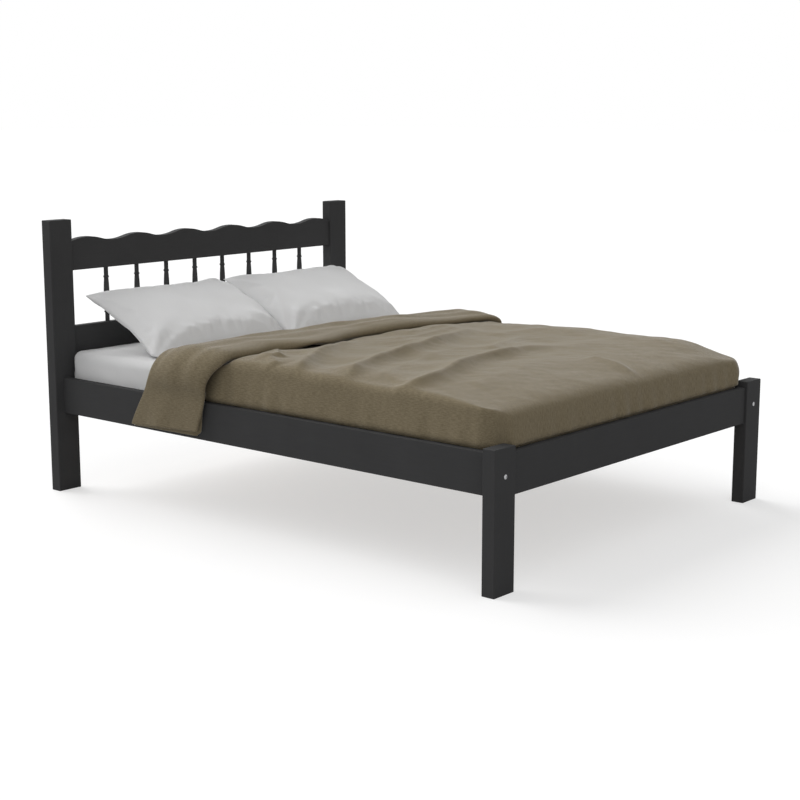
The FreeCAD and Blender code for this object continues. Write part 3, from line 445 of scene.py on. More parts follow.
def faces_between(rows, columns, start=0, around=False, flip=False):
    """Quads of a grid of points numbered row by row from start; around joins its last column to the first."""
    row = np.arange(rows - 1)[:, None] * columns
    column = np.arange(columns if around else columns - 1)
    after = (column + 1) % columns
    quads = np.stack([row + column, row + after, row + columns + after, row + columns + column], -1)
    quads = quads.reshape(-1, 4) + start
    return quads[:, ::-1] if flip else quads


def rim_of(rows, columns):
    """Numbers of a grid's border points, once round."""
    index = np.arange(rows * columns).reshape(rows, columns)
    return np.concatenate([index[0, :-1], index[:-1, -1], index[-1, :0:-1], index[:0:-1, 0]])


def piece(name, points, faces, material, flat=None):
    """A smooth mesh object at the origin from arrays of points and quads, with map places where given."""
    mesh = bpy.data.meshes.new(name)
    mesh.vertices.add(len(points))
    mesh.vertices.foreach_set("co", np.asarray(points, np.float32).ravel())
    mesh.loops.add(faces.size)
    mesh.loops.foreach_set("vertex_index", faces.astype(np.int32).ravel())
    mesh.polygons.add(len(faces))
    mesh.polygons.foreach_set("loop_start", np.arange(len(faces), dtype=np.int32) * faces.shape[1])
    mesh.update(calc_edges=True)
    mesh.validate()
    mesh.polygons.foreach_set("use_smooth", np.ones(len(mesh.polygons), bool))
    if flat is not None:
        layer = mesh.uv_layers.new(name="flat")
        corner = np.zeros(len(mesh.loops), np.int32)
        mesh.loops.foreach_get("vertex_index", corner)
        layer.data.foreach_set("uv", np.asarray(flat, np.float32)[corner].ravel())
    mesh.materials.append(material)
    made = bpy.data.objects.new(name, mesh)
    bpy.context.scene.collection.objects.link(made)
    return made


def over_box(s, t, half_wide, low_y, high_y, top, shoulder, corner):
    """Flat cloth laid over a box with round shoulders: place, outward direction and turn for each flat point.

    A flat point (s, t) inside the plan's core stays on top. Past the core its excess is measured by the
    larger of the two overhangs and laid along the direction of the overhang: first flat, then round a
    quarter circle of the shoulder's radius, then straight down.
    """
    core = half_wide - corner
    over_s = np.sign(s) * np.maximum(np.abs(s) - core, 0.0)
    over_t = np.minimum(t - (low_y + corner), 0.0) + np.maximum(t - (high_y - corner), 0.0)
    far = np.hypot(over_s, over_t)
    excess = np.maximum(np.abs(over_s), np.abs(over_t))
    way_x, way_y = over_s / np.maximum(far, TINY), over_t / np.maximum(far, TINY)
    flat = np.minimum(excess, corner - shoulder)
    bend = np.clip((excess - (corner - shoulder)) / shoulder, 0.0, np.pi / 2)
    fall = np.maximum(excess - (corner - shoulder) - shoulder * np.pi / 2, 0.0)
    out = flat + shoulder * np.sin(bend)
    x = np.clip(s, -core, core) + way_x * out
    y = np.clip(t, low_y + corner, high_y - corner) + way_y * out
    z = top - shoulder * (1.0 - np.cos(bend)) - fall
    way = np.stack([way_x * np.sin(bend), way_y * np.sin(bend), np.cos(bend)], -1)
    return np.stack([x, y, z], -1), way, bend


def overhang(shoulder, depth):
    """Length of cloth past the box's plan that reaches that depth over a shoulder.

    It is the depth, with the shoulder's quarter circle in place of the two sides of its square.
    """
    return shoulder * (np.pi / 2 - 2.0) + depth


def mattress_rounding(t, growth):
    """Radius over the mattress's top edge and of its corners in plan: squarer towards the head."""
    head = ease(t, -0.2, 0.3)
    return MATTRESS_EDGE - 0.008 * head + growth, 0.060 - 0.033 * head + growth


def two_halves(upper, lower):
    """One closed skin from two grids of points with the same border: its points, quads and their old numbers.

    The lower grid's border takes the upper one's numbers, and its quads are turned over.
    """
    rows, columns = upper.shape[:2]
    count = rows * columns
    lower_number = np.arange(count) + count
    rim = rim_of(rows, columns)
    lower_number[rim] = rim
    lower_faces = lower_number[faces_between(rows, columns, flip=True)]
    used, faces = np.unique(np.concatenate([faces_between(rows, columns), lower_faces]), return_inverse=True)
    points = np.concatenate([upper.reshape(-1, 3), lower.reshape(-1, 3)])
    return points[used], faces.reshape(-1, 4), used


class BED_OT_frame_finish(bpy.types.Operator):
    """Paints the frame and gives the slats, bolts and hangers their own finishes"""

    bl_idname = "bed.frame_finish"
    bl_label = "Frame finishes"

    def execute(self, context):
        paint = {axis: paint_finish(axis) for axis in "xyz"}
        pine = {axis: pine_finish(axis) for axis in "xy"}
        metal = {"zinc_plate": zinc_finish(), "galvanised_sheet": galvanised_finish()}
        slot_of = {entry["node"]: entry["material_slot"] for entry in frame["record"]["subparts"]}
        for name, node in frame["nodes"].items():
            low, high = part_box(name)
            spans = [high[i] - low[i] for i in range(3)]
            axis = "xyz"[spans.index(max(spans))]
            slot = slot_of[name]
            if slot == "charcoal_paint":
                self.dress(node, paint[axis])
            elif slot == "bare_pine":
                self.dress(node, pine["x" if axis == "x" else "y"])
            elif slot in metal:
                self.dress(node, metal[slot])
        return {"FINISHED"}

    def dress(self, node, material):
        """Gives a CAD node one material."""
        node.data.materials.clear()
        node.data.materials.append(material)


class BED_OT_mattress(bpy.types.Operator):
    """Makes the mattress"""

    bl_idname = "bed.mattress"
    bl_label = "Mattress"

    def execute(self, context):
        """Two halves of the same round-shouldered cover, the lower one turned over, joined at mid height."""
        low, high = MATTRESS_LOW, MATTRESS_HIGH
        reach = overhang(MATTRESS_EDGE, (high.z - low.z) / 2)
        s = np.linspace(low.x - reach, high.x + reach, 110)
        t = np.linspace(low.y - reach, high.y + reach, 140)
        grid_s, grid_t = np.meshgrid(s, t)
        shoulder, corner = mattress_rounding(grid_t, 0.0)
        upper, _, _ = over_box(grid_s, grid_t, high.x, low.y, high.y, high.z, shoulder, corner)
        upper[..., 2] = np.maximum(upper[..., 2], (high.z + low.z) / 2)
        lower = upper * (1.0, 1.0, -1.0) + (0.0, 0.0, high.z + low.z)
        points, faces, _ = two_halves(upper, lower)
        mattress = piece("mattress_pad", points, faces, ticking_finish())
        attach(mattress, "mattress")
        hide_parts("mattress")
        return {"FINISHED"}


class BED_OT_fitted_sheet(bpy.types.Operator):
    """Makes the fitted sheet over the mattress"""

    bl_idname = "bed.fitted_sheet"
    bl_label = "Fitted sheet"

    DRAWN_EDGE = 0.0275  # radius over which the cloth's length down the sides is worked out
    HEM_UP = 0.001  # height of the hem above the CAD sheet's lower edge
    CORNER_REACH = 0.12  # how far the gathers reach from a corner
    GATHER, DRAG = 0.0012, 0.0009  # depths of the gathers and of the cloth's soft waves

    def execute(self, context):
        """One cloth over the mattress, drawn in by an elastic hem, with small gathers towards its corners."""
        low, high = SHEET_LOW, SHEET_HIGH
        reach = overhang(self.DRAWN_EDGE, high.z - low.z - self.HEM_UP)
        wide, long = high.x + reach, high.y + reach
        grid_s, grid_t = np.meshgrid(np.linspace(-wide, wide, 190), np.linspace(-long, long, 240))
        shoulder, corner = mattress_rounding(grid_t, high.x - MATTRESS_HIGH.x)
        points, way, bend = over_box(grid_s, grid_t, high.x, low.y, high.y, high.z, shoulder, corner)
        round_it = np.arctan2(way[..., 1], way[..., 0])
        near_hem = ease(points[..., 2], low.z + 0.05, low.z)
        at_corner = np.exp(-((np.abs(points[..., 0]) - high.x) / self.CORNER_REACH) ** 2
                           - ((np.abs(points[..., 1]) - high.y) / self.CORNER_REACH) ** 2)
        gather = self.GATHER * near_hem * at_corner * np.sin(46.0 * round_it)
        drag = self.DRAG * ripple(grid_s, grid_t, 0.05, 0.3, 26, 3) * (0.35 + np.sin(bend))
        points = points + way * np.clip(gather + drag, -0.0008, 0.0022)[..., None]
        points[..., 2] = np.maximum(points[..., 2], low.z)
        flat = np.stack([grid_s, grid_t], -1).reshape(-1, 2)
        sheet = piece("fitted_sheet_cloth", points.reshape(-1, 3), faces_between(*grid_s.shape),
                      cotton_finish("sheet_cotton", colour("sheet"), 0.10), flat)
        thick = sheet.modifiers.new("cloth", "SOLIDIFY")
        thick.thickness = sizes().sheet_cloth
        thick.offset = -1.0
        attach(sheet, "mattress")
        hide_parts("fitted_sheet")
        return {"FINISHED"}


class BED_OT_comforter(bpy.types.Operator):
    """Makes the comforter: spread, turned-down end and hanging ends"""

    bl_idname = "bed.comforter"
    bl_label = "Comforter"

    RIDGES = (
        # line of points on the bed's top, height, width towards the head, width towards the foot
        (((-0.715, -0.385), (-0.672, -0.363), (-0.544, -0.299), (-0.427, -0.260), (-0.320, -0.230),
          (-0.187, -0.203), (-0.039, -0.167), (0.14, -0.110), (0.33, -0.050), (0.50, -0.010)),
         0.026, 0.065, 0.030),
        (((-0.712, -0.540), (-0.686, -0.578), (-0.640, -0.602), (-0.534, -0.592), (-0.419, -0.558),
          (-0.248, -0.502), (-0.117, -0.482), (0.00, -0.472), (0.09, -0.465), (0.17, -0.485),
          (0.27, -0.560)), 0.027, 0.065, 0.030),
        (((-0.71, -0.180), (-0.551, -0.090), (-0.399, -0.004), (-0.240, 0.060), (-0.06, 0.10)),
         0.022, 0.050, 0.028),
        (((-0.66, -0.450), (-0.50, -0.400), (-0.33, -0.345), (-0.15, -0.300), (0.06, -0.270)),
         0.007, 0.050, 0.050),
        (((-0.60, -0.010), (-0.555, 0.050), (-0.505, 0.104), (-0.44, 0.14)), 0.018, 0.034, 0.022),
        (((-0.68, -0.070), (-0.625, 0.010), (-0.596, 0.075), (-0.55, 0.12)), 0.012, 0.026, 0.022),
        (((-0.02, -0.400), (0.065, -0.368), (0.196, -0.322), (0.375, -0.265)), 0.010, 0.050, 0.026),
        (((0.125, -0.700), (0.118, -0.760), (0.105, -0.830), (0.060, -0.930)), 0.011, 0.014, 0.050),
        (((-0.05, 0.010), (0.180, 0.005), (0.46, 0.050)), 0.008, 0.050, 0.026),
        (((0.10, 0.075), (0.380, 0.078), (0.66, 0.07)), 0.007, 0.045, 0.030),
        (((0.28, -0.180), (0.460, -0.205), (0.66, -0.29)), 0.006, 0.060, 0.040),
        (((-0.55, -0.735), (-0.250, -0.680), (0.05, -0.63)), 0.006, 0.090, 0.055),
        (((0.20, -0.560), (0.400, -0.540), (0.64, -0.60)), 0.004, 0.080, 0.060),
    )
    # the turned-down layer's hem and nose: where they cross the bed, then how high up on the hanging ends
    HEM = ((-0.70, 0.142), (-0.63, 0.148), (-0.55, 0.146), (-0.47, 0.162), (-0.40, 0.135), (-0.30, 0.118),
           (-0.20, 0.134), (-0.10, 0.165), (0.00, 0.180), (0.14, 0.166), (0.30, 0.158), (0.45, 0.148),
           (0.58, 0.134), (0.65, 0.115), (0.70, 0.090))
    NOSE = ((-0.70, 0.458), (-0.62, 0.466), (-0.53, 0.472), (-0.40, 0.464), (-0.12, 0.454), (0.03, 0.446),
            (0.25, 0.424), (0.43, 0.410), (0.70, 0.398))
    HEM_DOWN = ((0.287, 0.232), (0.310, 0.226), (0.415, 0.198), (0.470, 0.183), (0.491, 0.168),
                (0.525, 0.142))
    NOSE_DOWN = ((0.287, 0.566), (0.350, 0.530), (0.421, 0.489), (0.470, 0.474), (0.525, 0.468))
    # hollow under the hem: place across the bed, depth, reach across and along, lift of the hem's underside
    POCKET = (-0.295, 0.018, 0.070, 0.070, 0.018)
    # foot corners that sink: place, depth and reach
    DROOPS = ((-0.70, -0.96, 0.006, 0.15), (0.70, -0.96, 0.024, 0.12))
    SIDE_SPACE, FOOT_SPACE = 0.0055, 0.003  # room between the sheet or the rail and the spread's core
    SPREAD_HEAD = 0.44  # where the spread ends, under the turned-down layer
    OPEN_END = 1.0  # length that keeps the spread's head end flat, without a shoulder
    LINING_SPACE = 0.0022  # room between the sheet and the lining
    FLAP_SPACE = 0.0006  # room between a rail and the hanging end
    SWELL, SMALL = 0.0030, 0.0005  # depths of the broad and of the fine waves of the spread
    SAG, DRAPE = 0.0012, 0.004  # depths of the waves of the turned-down layer and of its hanging ends

    def execute(self, context):
        shells = [self.spread(), self.turn_down(), self.inner_flap(-1.0), self.inner_flap(1.0)]
        points, faces, flat, start = [], [], [], 0
        for shell_points, shell_faces, shell_flat in shells:
            points.append(shell_points)
            faces.append(shell_faces + start)
            flat.append(shell_flat)
            start += len(shell_points)
        comforter = piece("comforter_quilt", np.concatenate(points), np.concatenate(faces),
                          comforter_finish(), np.concatenate(flat))
        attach(comforter, "comforter")
        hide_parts("comforter")
        return {"FINISHED"}

    def spread(self):
        """The part that lies on the bed: an outer cloth with ridges and a lining, joined round the hem.

        Outer point = round-shouldered box point + outward direction x (ridges + soft ripples + bulge at the
        rails). A crown is added to its height. The droop of the foot and its corners, the trough under the
        turned-down layer and the pocket under its hem are taken off.
        """
        size = sizes()
        half = SHEET_HIGH.x + self.SIDE_SPACE
        foot = COMFORTER_LOW.y + self.FOOT_SPACE
        head = self.SPREAD_HEAD
        reach = overhang(size.shoulder_far, COMFORTER_TOP - (RAIL_HIGH.z - size.tuck))
        wide = half + reach
        s = np.linspace(-wide, wide, int(2 * wide / size.cell))
        t = np.linspace(foot - reach, head, int((head - foot + reach) / size.cell))
        grid_s, grid_t = np.meshgrid(s, t)
        shoulder = size.shoulder + (size.shoulder_far - size.shoulder) * ease(grid_s, -0.1, 0.6)
        over_side = np.maximum(np.abs(grid_s) - half + size.corner, 0.0) ** 2
        over_foot = np.maximum(foot + size.corner - grid_t, 0.0) ** 2
        footward = over_foot / np.maximum(over_side + over_foot, TINY)
        shoulder = shoulder + (size.shoulder_foot - shoulder) * footward
        outer, way, bend = over_box(grid_s, grid_t, half, foot, head + self.OPEN_END, COMFORTER_TOP, shoulder,
                                    size.corner)
        x, y, z = np.moveaxis(outer, -1, 0)
        upper = np.cos(bend) ** 2
        rise = size.crown * (1.0 - np.clip(np.abs(x) / half, 0, 1) ** 2.6) * ease(y, foot, foot + 0.34) ** 0.8
        rise = rise + size.crown * ease(y, -0.45, 0.05) * ease(-x, 0.2, 0.65)
        rise = rise + size.far_swell * ease(x, 0.30, 0.60) * ease(y, -0.93, -0.72) * ease(-y, 0.05, 0.35)
        droop = np.clip((foot + size.foot_reach - y) / size.foot_reach, 0.0, 1.0) ** 2
        rise = rise - size.foot_droop * droop
        for corner_x, corner_y, depth, far in self.DROOPS:
            rise = rise - depth * np.exp(-((x - corner_x) ** 2 + (y - corner_y) ** 2) / far ** 2)
        hem = np.interp(x, *np.transpose(self.HEM))
        past_hem = y - hem
        rise = rise - size.trough * ease(past_hem, -0.022, 0.022) - 0.012 * ease(past_hem, 0.20, 0.30)
        pocket_x, pocket_depth, pocket_wide, pocket_long, _ = self.POCKET
        pocket = np.exp(-((x - pocket_x) / pocket_wide) ** 2 - (past_hem / pocket_long) ** 2)
        rise = rise - pocket_depth * pocket
        open_top = 1.0 - ease(past_hem, -0.02, 0.05)
        on_bed = ease(z, RAIL_HIGH.z + 0.06, RAIL_HIGH.z + 0.13)
        ridges = sum(fold_line(grid_s, grid_t, *ridge) for ridge in self.RIDGES) * open_top * on_bed
        swell = self.SWELL * ripple(grid_s, grid_t, 0.16, 0.55, 18, 11)
        swell = swell * (0.35 + 0.65 * ease(y, -0.75, -0.35))
        small = self.SMALL * ripple(grid_s, grid_t, 0.035, 0.12, 40, 12)
        soft = (swell + small) * (0.2 + 0.8 * open_top) * (0.30 + 0.70 * on_bed)
        soft = soft * ease(z, RAIL_HIGH.z + 0.004, RAIL_HIGH.z + 0.03)
        sideways = np.sin(bend)
        along = np.where(np.abs(way[..., 0]) > np.abs(way[..., 1]), y, x)
        level = z - RAIL_HIGH.z
        lean = np.clip(1.0 - level / 0.115, 0.0, 1.0) * ease(level, 0.0015, 0.012)
        lump = 0.5 + 0.5 * ripple(along, 0.2 * along, 0.05, 0.22, 12, 21)
        square = np.maximum(np.abs(way[..., 0]), np.abs(way[..., 1])) / np.maximum(sideways, 1e-6)
        straight = ease(square, 0.93, 0.999)
        side_share = np.abs(way[..., 0]) / np.maximum(sideways, 1e-6)
        bulge = straight * np.clip(0.013 + 0.006 * lump, 0.008, 0.021)
        bulge = bulge + (1.0 - straight) * (0.004 + 0.010 * ease(side_share, 0.55, 0.80))
        bulge = sideways * lean * bulge
        far_corner = np.exp(-((x - half) ** 2 + (y - foot) ** 2) / 0.08 ** 2
                            - ((level - 0.050) / 0.04) ** 2)
        bulge = bulge + 0.015 * sideways * far_corner
        outer = outer + way * (ridges + soft + bulge)[..., None]
        outer[..., 2] += rise * upper
        lining, _, _ = over_box(grid_s, grid_t, SHEET_HIGH.x + self.LINING_SPACE,
                                SHEET_LOW.y - self.LINING_SPACE, head + self.OPEN_END,
                                SHEET_HIGH.z + 0.0025, 0.036, 0.062)
        below = RAIL_HIGH.z - lining[..., 2]
        lining[..., 2] = np.where(below > 0.0, RAIL_HIGH.z - below * size.tuck / below.max(), lining[..., 2])
        return self.shell(outer, lining, grid_s, grid_t)

    def shell(self, outer, lining, grid_s, grid_t):
        """A closed shell from an outer and an inner grid of like points, with a strip of quads as its rim."""
        rows, columns = grid_s.shape
        count = rows * columns
        rim = rim_of(rows, columns)
        after = np.roll(rim, -1)
        strip = np.stack([after, rim, rim + count, after + count], -1)
        faces = np.concatenate([faces_between(rows, columns), faces_between(rows, columns, count, flip=True),
                                strip])
        flat = np.stack([grid_s, grid_t], -1).reshape(-1, 2)
        points = np.concatenate([outer.reshape(-1, 3), lining.reshape(-1, 3)])
        return points, faces, np.concatenate([flat, flat])

    def path(self):
        """Line of the turned-down layer across the bed: up outside one rail, over and down outside the other.

        Returns places, outward directions and distances along it, from the left hem to the right one.
        """
        size = sizes()
        out = -RAIL_LOW.x + 0.0008 + size.flap_thick
        low, round_it = COMFORTER_LOW.z + 0.010, size.fold_shoulder
        top = COMFORTER_TOP + size.crown - size.trough + 0.0015
        start = top - round_it
        rise = np.linspace(low, start, 30)[:-1]
        bend = np.linspace(0.0, np.pi / 2, 30)
        inner = out - round_it
        middle = np.linspace(-inner, 0.0, 90)[1:]
        x = np.concatenate([np.full(rise.size, -out), -inner - round_it * np.cos(bend), middle])
        z = np.concatenate([rise, start + round_it * np.sin(bend), np.full(middle.size, top)])
        turn = np.concatenate([np.zeros(rise.size), bend, np.full(middle.size, np.pi / 2)])
        x = np.concatenate([x, -x[-2::-1]])
        z = np.concatenate([z, z[-2::-1]])
        way_x = np.concatenate([-np.cos(turn), np.cos(turn)[-2::-1]])
        way_z = np.concatenate([np.sin(turn), np.sin(turn)[-2::-1]])
        far = np.concatenate([[0.0], np.cumsum(np.hypot(np.diff(x), np.diff(z)))])
        return x, z, way_x, way_z, far - far[-1] / 2

    def edge(self, x, z, across, down):
        """A line of the turned-down layer at each place of its path, from its tables across and down.

        It is smoothed by a running mean. The line down each end is shifted so that it starts where the line
        across the bed stops.
        """
        over = np.interp(x, *np.transpose(across))
        shift = np.interp(np.sign(x), *np.transpose(across)) - down[-1][1]
        hanging = np.interp(z, *np.transpose(down)) + shift * ease(z, 0.33, down[-1][0])
        line = np.where(z > down[-1][0], over, hanging)
        kernel = np.hanning(13) / np.hanning(13).sum()
        return np.convolve(np.pad(line, 6, "edge"), kernel, "valid")

    def turn_down(self):
        """The folded-back layer: a long rounded section carried along the path across the bed.

        The section runs from under the hem round it, along its top to the nose, round the nose down to the
        sheet, and back underneath. On the hanging ends it is one even layer, with caps drawn to a flat edge.
        """
        size = sizes()
        x, z, way_x, way_z, far = self.path()
        hem = self.edge(x, z, self.HEM, self.HEM_DOWN)
        nose = self.edge(x, z, self.NOSE, self.NOSE_DOWN)
        half_turn = np.linspace(-np.pi / 2, np.pi / 2, 17)
        run, back = np.linspace(0.0, 1.0, 40)[1:-1], np.linspace(1.0, 0.0, 26)[1:-1]
        at_hem = np.concatenate([np.cos(half_turn), np.zeros(run.size + half_turn.size + back.size)])
        at_nose = np.concatenate([np.zeros(half_turn.size + run.size), np.cos(half_turn),
                                  np.zeros(back.size)])
        height = np.concatenate([np.sin(half_turn), np.ones(run.size), np.sin(-half_turn),
                                 -np.ones(back.size)])
        height = height * 0.5 + 0.5
        share = np.concatenate([np.zeros(half_turn.size), run, np.ones(half_turn.size), back])
        on_top = ease(z, COMFORTER_TOP - 0.13, COMFORTER_TOP - 0.02)[:, None]
        thinner = (1.0 - np.minimum(share / 0.55, 1.0)) ** 2
        roll = size.fold_thick - (size.fold_thick - size.hem_thick) * thinner
        roll = roll + (size.nose_thick - size.fold_thick) * ease(share, 0.55, 1.0)
        plain = size.flap_thick * (1.0 + 0.25 * np.sin(np.pi * share))
        thick = plain + (roll - plain) * on_top * (1.0 - 0.36 * ease(x, 0.22, 0.62))[:, None]
        spread_far, spread_share = np.meshgrid(far, share, indexing="ij")
        thick = thick * (1.0 + 0.06 * ripple(spread_far, spread_share, 0.25, 0.9, 9, 31))
        drop = size.nose_drop * on_top * ease(share, 0.80, 0.97)
        round_hem = thick[:, :1] * (0.60 + 0.70 * on_top)
        round_nose = thick[:, -1:] * 0.5 + 0.014 * on_top
        core = (nose - hem)[:, None] - round_hem - round_nose
        y = hem[:, None] + round_hem * (1.0 - at_hem) + core * share + at_nose * round_nose
        sag = self.SAG * ripple(spread_far, y, 0.08, 0.45, 22, 33)
        drape = self.DRAPE * (1.0 - on_top) * np.sin(2.0 * np.pi * (y - 0.2) / 0.19 + 0.6)
        drape = drape * ease(-z, -0.44, -0.30)[:, None]
        up = thick * height - drop * (1.0 - height) + sag * height * on_top + np.maximum(drape, -0.001)
        pocket_x, _, pocket_wide, _, pocket_lift = self.POCKET
        lift = pocket_lift * np.exp(-((x - pocket_x) / pocket_wide) ** 2)[:, None] * on_top
        up = up + lift * (1.0 - height) * (1.0 - ease(share, 0.0, 0.4))
        hike = 0.014 * (1.0 - share) * ease(COMFORTER_LOW.z + 0.09 - z, 0.0, 0.08)[:, None]
        grid = np.stack([x[:, None] + way_x[:, None] * up, y, z[:, None] + way_z[:, None] * up + hike], -1)
        return self.capped(grid, far, y, up)

    def capped(self, grid, far, y, up):
        """Closes a tube of rings with a flat strip across each end, drawn in a little first."""
        def end(row):
            ring = grid[row].copy()
            middle = ring.mean(0)
            ring[:, 0] = middle[0] + (ring[:, 0] - middle[0]) * 0.55
            ring[:, 2] += -0.0022
            return ring[None]
        grid = np.concatenate([end(0), grid, end(-1)])
        rows, columns = grid.shape[:2]
        far = np.concatenate([[far[0]], far, [far[-1]]])
        y = np.concatenate([y[:1], y, y[-1:]])
        up = np.concatenate([up[:1], up, up[-1:]])
        faces = faces_between(rows, columns, around=True, flip=True)
        first = np.arange(columns // 2 - 1)
        mate = columns - 1 - first
        cap = np.stack([first, first + 1, mate - 1, mate], -1)
        faces = np.concatenate([faces, cap, cap[:, ::-1] + (rows - 1) * columns])
        flat = np.stack([far[:, None] + 0 * y, y + up], -1).reshape(-1, 2)
        return grid.reshape(-1, 3), faces, flat

    def inner_flap(self, side):
        """The lower layer of a hanging end: a thin padded panel on the rail, longer than the outer one."""
        size = sizes()
        grid_u, grid_v = np.meshgrid(np.linspace(0.0, 1.0, 40), np.linspace(0.0, 1.0, 44))
        low, high = COMFORTER_LOW.z, COMFORTER_TOP - 0.10
        level = low + (high - low) * grid_v
        foot = np.interp(level, *np.transpose(self.HEM_DOWN)) + 0.004 + 0.010 * ease(level, 0.30, 0.38)
        foot = foot + 0.016 * ease(low + 0.022 - level, 0.0, 0.022) ** 2
        head = np.interp(level, *np.transpose(self.NOSE_DOWN)) - 0.004
        y = foot + (head - foot) * grid_u
        z = level + 0.004 * (1.0 - grid_u) * (1.0 - grid_v)
        edge = np.minimum(np.minimum(grid_u, 1 - grid_u) * 8.0, np.minimum(grid_v, 1 - grid_v) * 9.0)
        edge = np.clip(edge, 0, 1)
        puff = np.sqrt(np.clip(1.0 - (1.0 - edge) ** 2, 0.0, 1.0))
        near = -RAIL_LOW.x + self.FLAP_SPACE
        outer = np.stack([side * (near + size.flap_thick * (0.45 + 0.5 * puff)), y, z], -1)
        inner = np.stack([side * (near + 0 * puff), y, z], -1)
        points, faces, flat = self.shell(outer, inner, y, z)
        return points, faces if side > 0 else faces[:, ::-1], flat[:, ::-1]


class BED_OT_pillows(bpy.types.Operator):
    """Makes the two pillows by filling sewn cloth with air"""

    bl_idname = "bed.pillows"
    bl_label = "Pillows"

    # depths of the corners' folds, the loose waves, the creases along the front and the seam's puckers
    FOLDS, LOOSE, FRONT, PUCKER = 0.0072, 0.0026, 0.0028, 0.0026
    FOLD_REACH, SEAM_REACH = 0.050, 0.022
    SOFT = 0.006  # how softly a pillow meets the sheet and the headboard
    CLOTH = {"quality": 6, "mass": 0.25, "tension_stiffness": 20.0, "compression_stiffness": 20.0,
             "shear_stiffness": 6.0, "bending_stiffness": 0.5, "use_pressure": True}

    def execute(self, context):
        finish = cotton_finish("pillow_cotton", colour("pillow"), 0.10)
        for number, name in enumerate(PILLOWS):
            low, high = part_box(name)
            cover = self.sewn(name, finish, number)
            self.fill(context, cover)
            self.lay(cover, low, high)
            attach(cover, name)
            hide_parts(name)
        return {"FINISHED"}

    def sewn(self, name, finish, number):
        """A stuffed pillow lying flat: two crowned cloths sewn round their edge.

        Height from the seam = crown x (1 - |s|^2.6)^0.62 x (1 - |t|^2.3)^0.60, with a deeper crown below, set
        towards the front, with |s|^5 where the two pillows press on each other, and with |t|^3.8 along the
        fuller front. The other sides are drawn in between the corners, the front corners are blunted, and
        folds run out of each corner.
        """
        size = sizes()
        wide, long = size.pillow_wide / 2, size.pillow_long / 2
        columns, rows = int(2 * wide / size.pillow_seam), int(2 * long / size.pillow_seam)
        s, t = np.meshgrid(np.linspace(-1.0, 1.0, columns), np.linspace(-1.0, 1.0, rows))
        inner = ease(s if number == 0 else -s, 0.2, 0.8) * (1.0 - 0.75 * ease(t, 0.2, 0.9))
        x = wide * s * (1.0 - (0.045 - 0.037 * inner) * (1.0 - t ** 2) * s ** 2)
        y = long * t * (1.0 - (0.060 - 0.048 * ease(t, 0.0, 0.6)) * (1.0 - s ** 2) * t ** 2)
        blunt = ease(s ** 2 * t ** 2, 0.70, 1.0) * ease(-t, 0.0, 0.5)
        x, y = x * (1.0 - 0.035 * blunt), y * (1.0 - 0.055 * blunt)
        full = 2.3 + 1.5 * ease(-t, 0.1, 0.7)
        crown = (1.0 - np.abs(s) ** (2.6 + 2.4 * inner)) ** 0.62 * (1.0 - np.abs(t) ** full) ** 0.60
        corner_x, corner_y = wide - np.abs(x), long - np.abs(y)
        far, turn = np.hypot(corner_x, corner_y), np.arctan2(corner_y, corner_x)
        out = far / self.FOLD_REACH
        folds = out * np.exp(1.0 - out) * np.cos(9.0 * turn + s + 2.0 * t + number)
        seam = np.exp(-np.minimum(corner_x, corner_y) / self.SEAM_REACH)
        pucker = seam * ripple(x, y, 0.022, 0.06, 24, 51 + number)
        loose = ripple(x, y, 0.10, 0.40, 16, 57 + number)
        front = np.exp(-((t + 0.74) / 0.17) ** 2) * ripple(x, 0.6 * y, 0.028, 0.09, 22, 61 + number)
        relief = crown ** 0.7 * (self.FOLDS * folds + self.LOOSE * loose + self.FRONT * front)
        relief = relief + self.PUCKER * pucker * crown ** 0.3
        upper = np.stack([x, y, size.pillow_crown * crown + relief], -1)
        skew = 1.0 - 0.35 * t
        lower = np.stack([x, y, -size.pillow_belly * crown * skew - relief], -1)
        points, faces, used = two_halves(upper, lower)
        plan = upper[..., :2].reshape(-1, 2)
        flat = np.concatenate([plan, plan + (0.0, 2 * long)])
        return piece(name + "_cushion", points, faces, finish, flat[used])

    def fill(self, context, cover):
        """Runs the cloth with air inside and no weight, and keeps the filled shape.

        Each point moves by the cap at most.
        """
        size = sizes()
        before = self.points(cover.data)
        cloth = cover.modifiers.new("fill", "CLOTH")
        for name, value in self.CLOTH.items():
            setattr(cloth.settings, name, value)
        cloth.settings.uniform_pressure_force = size.pillow_pressure
        cloth.settings.effector_weights.gravity = 0.0
        cloth.collision_settings.use_collision = False
        cloth.collision_settings.use_self_collision = False
        cloth.point_cache.frame_start = 1
        cloth.point_cache.frame_end = size.pillow_frames
        for step in range(1, size.pillow_frames + 1):
            context.scene.frame_set(step)
        filled = bpy.data.meshes.new_from_object(cover.evaluated_get(context.evaluated_depsgraph_get()))
        cover.modifiers.remove(cloth)
        plain, cover.data = cover.data, filled
        bpy.data.meshes.remove(plain)
        context.scene.frame_set(1)
        move = self.points(filled) - before
        far = np.linalg.norm(move, axis=1, keepdims=True)
        self.place(filled, before + move * np.minimum(1.0, size.pillow_cap / np.maximum(far, TINY)))

    def points(self, mesh):
        """A mesh's points as rows of an array."""
        values = np.zeros(len(mesh.vertices) * 3, np.float32)
        mesh.vertices.foreach_get("co", values)
        return values.reshape(-1, 3).astype(float)

    def place(self, mesh, points):
        """Moves a mesh's points to these places."""
        mesh.vertices.foreach_set("co", points.astype(np.float32).ravel())
        mesh.update()

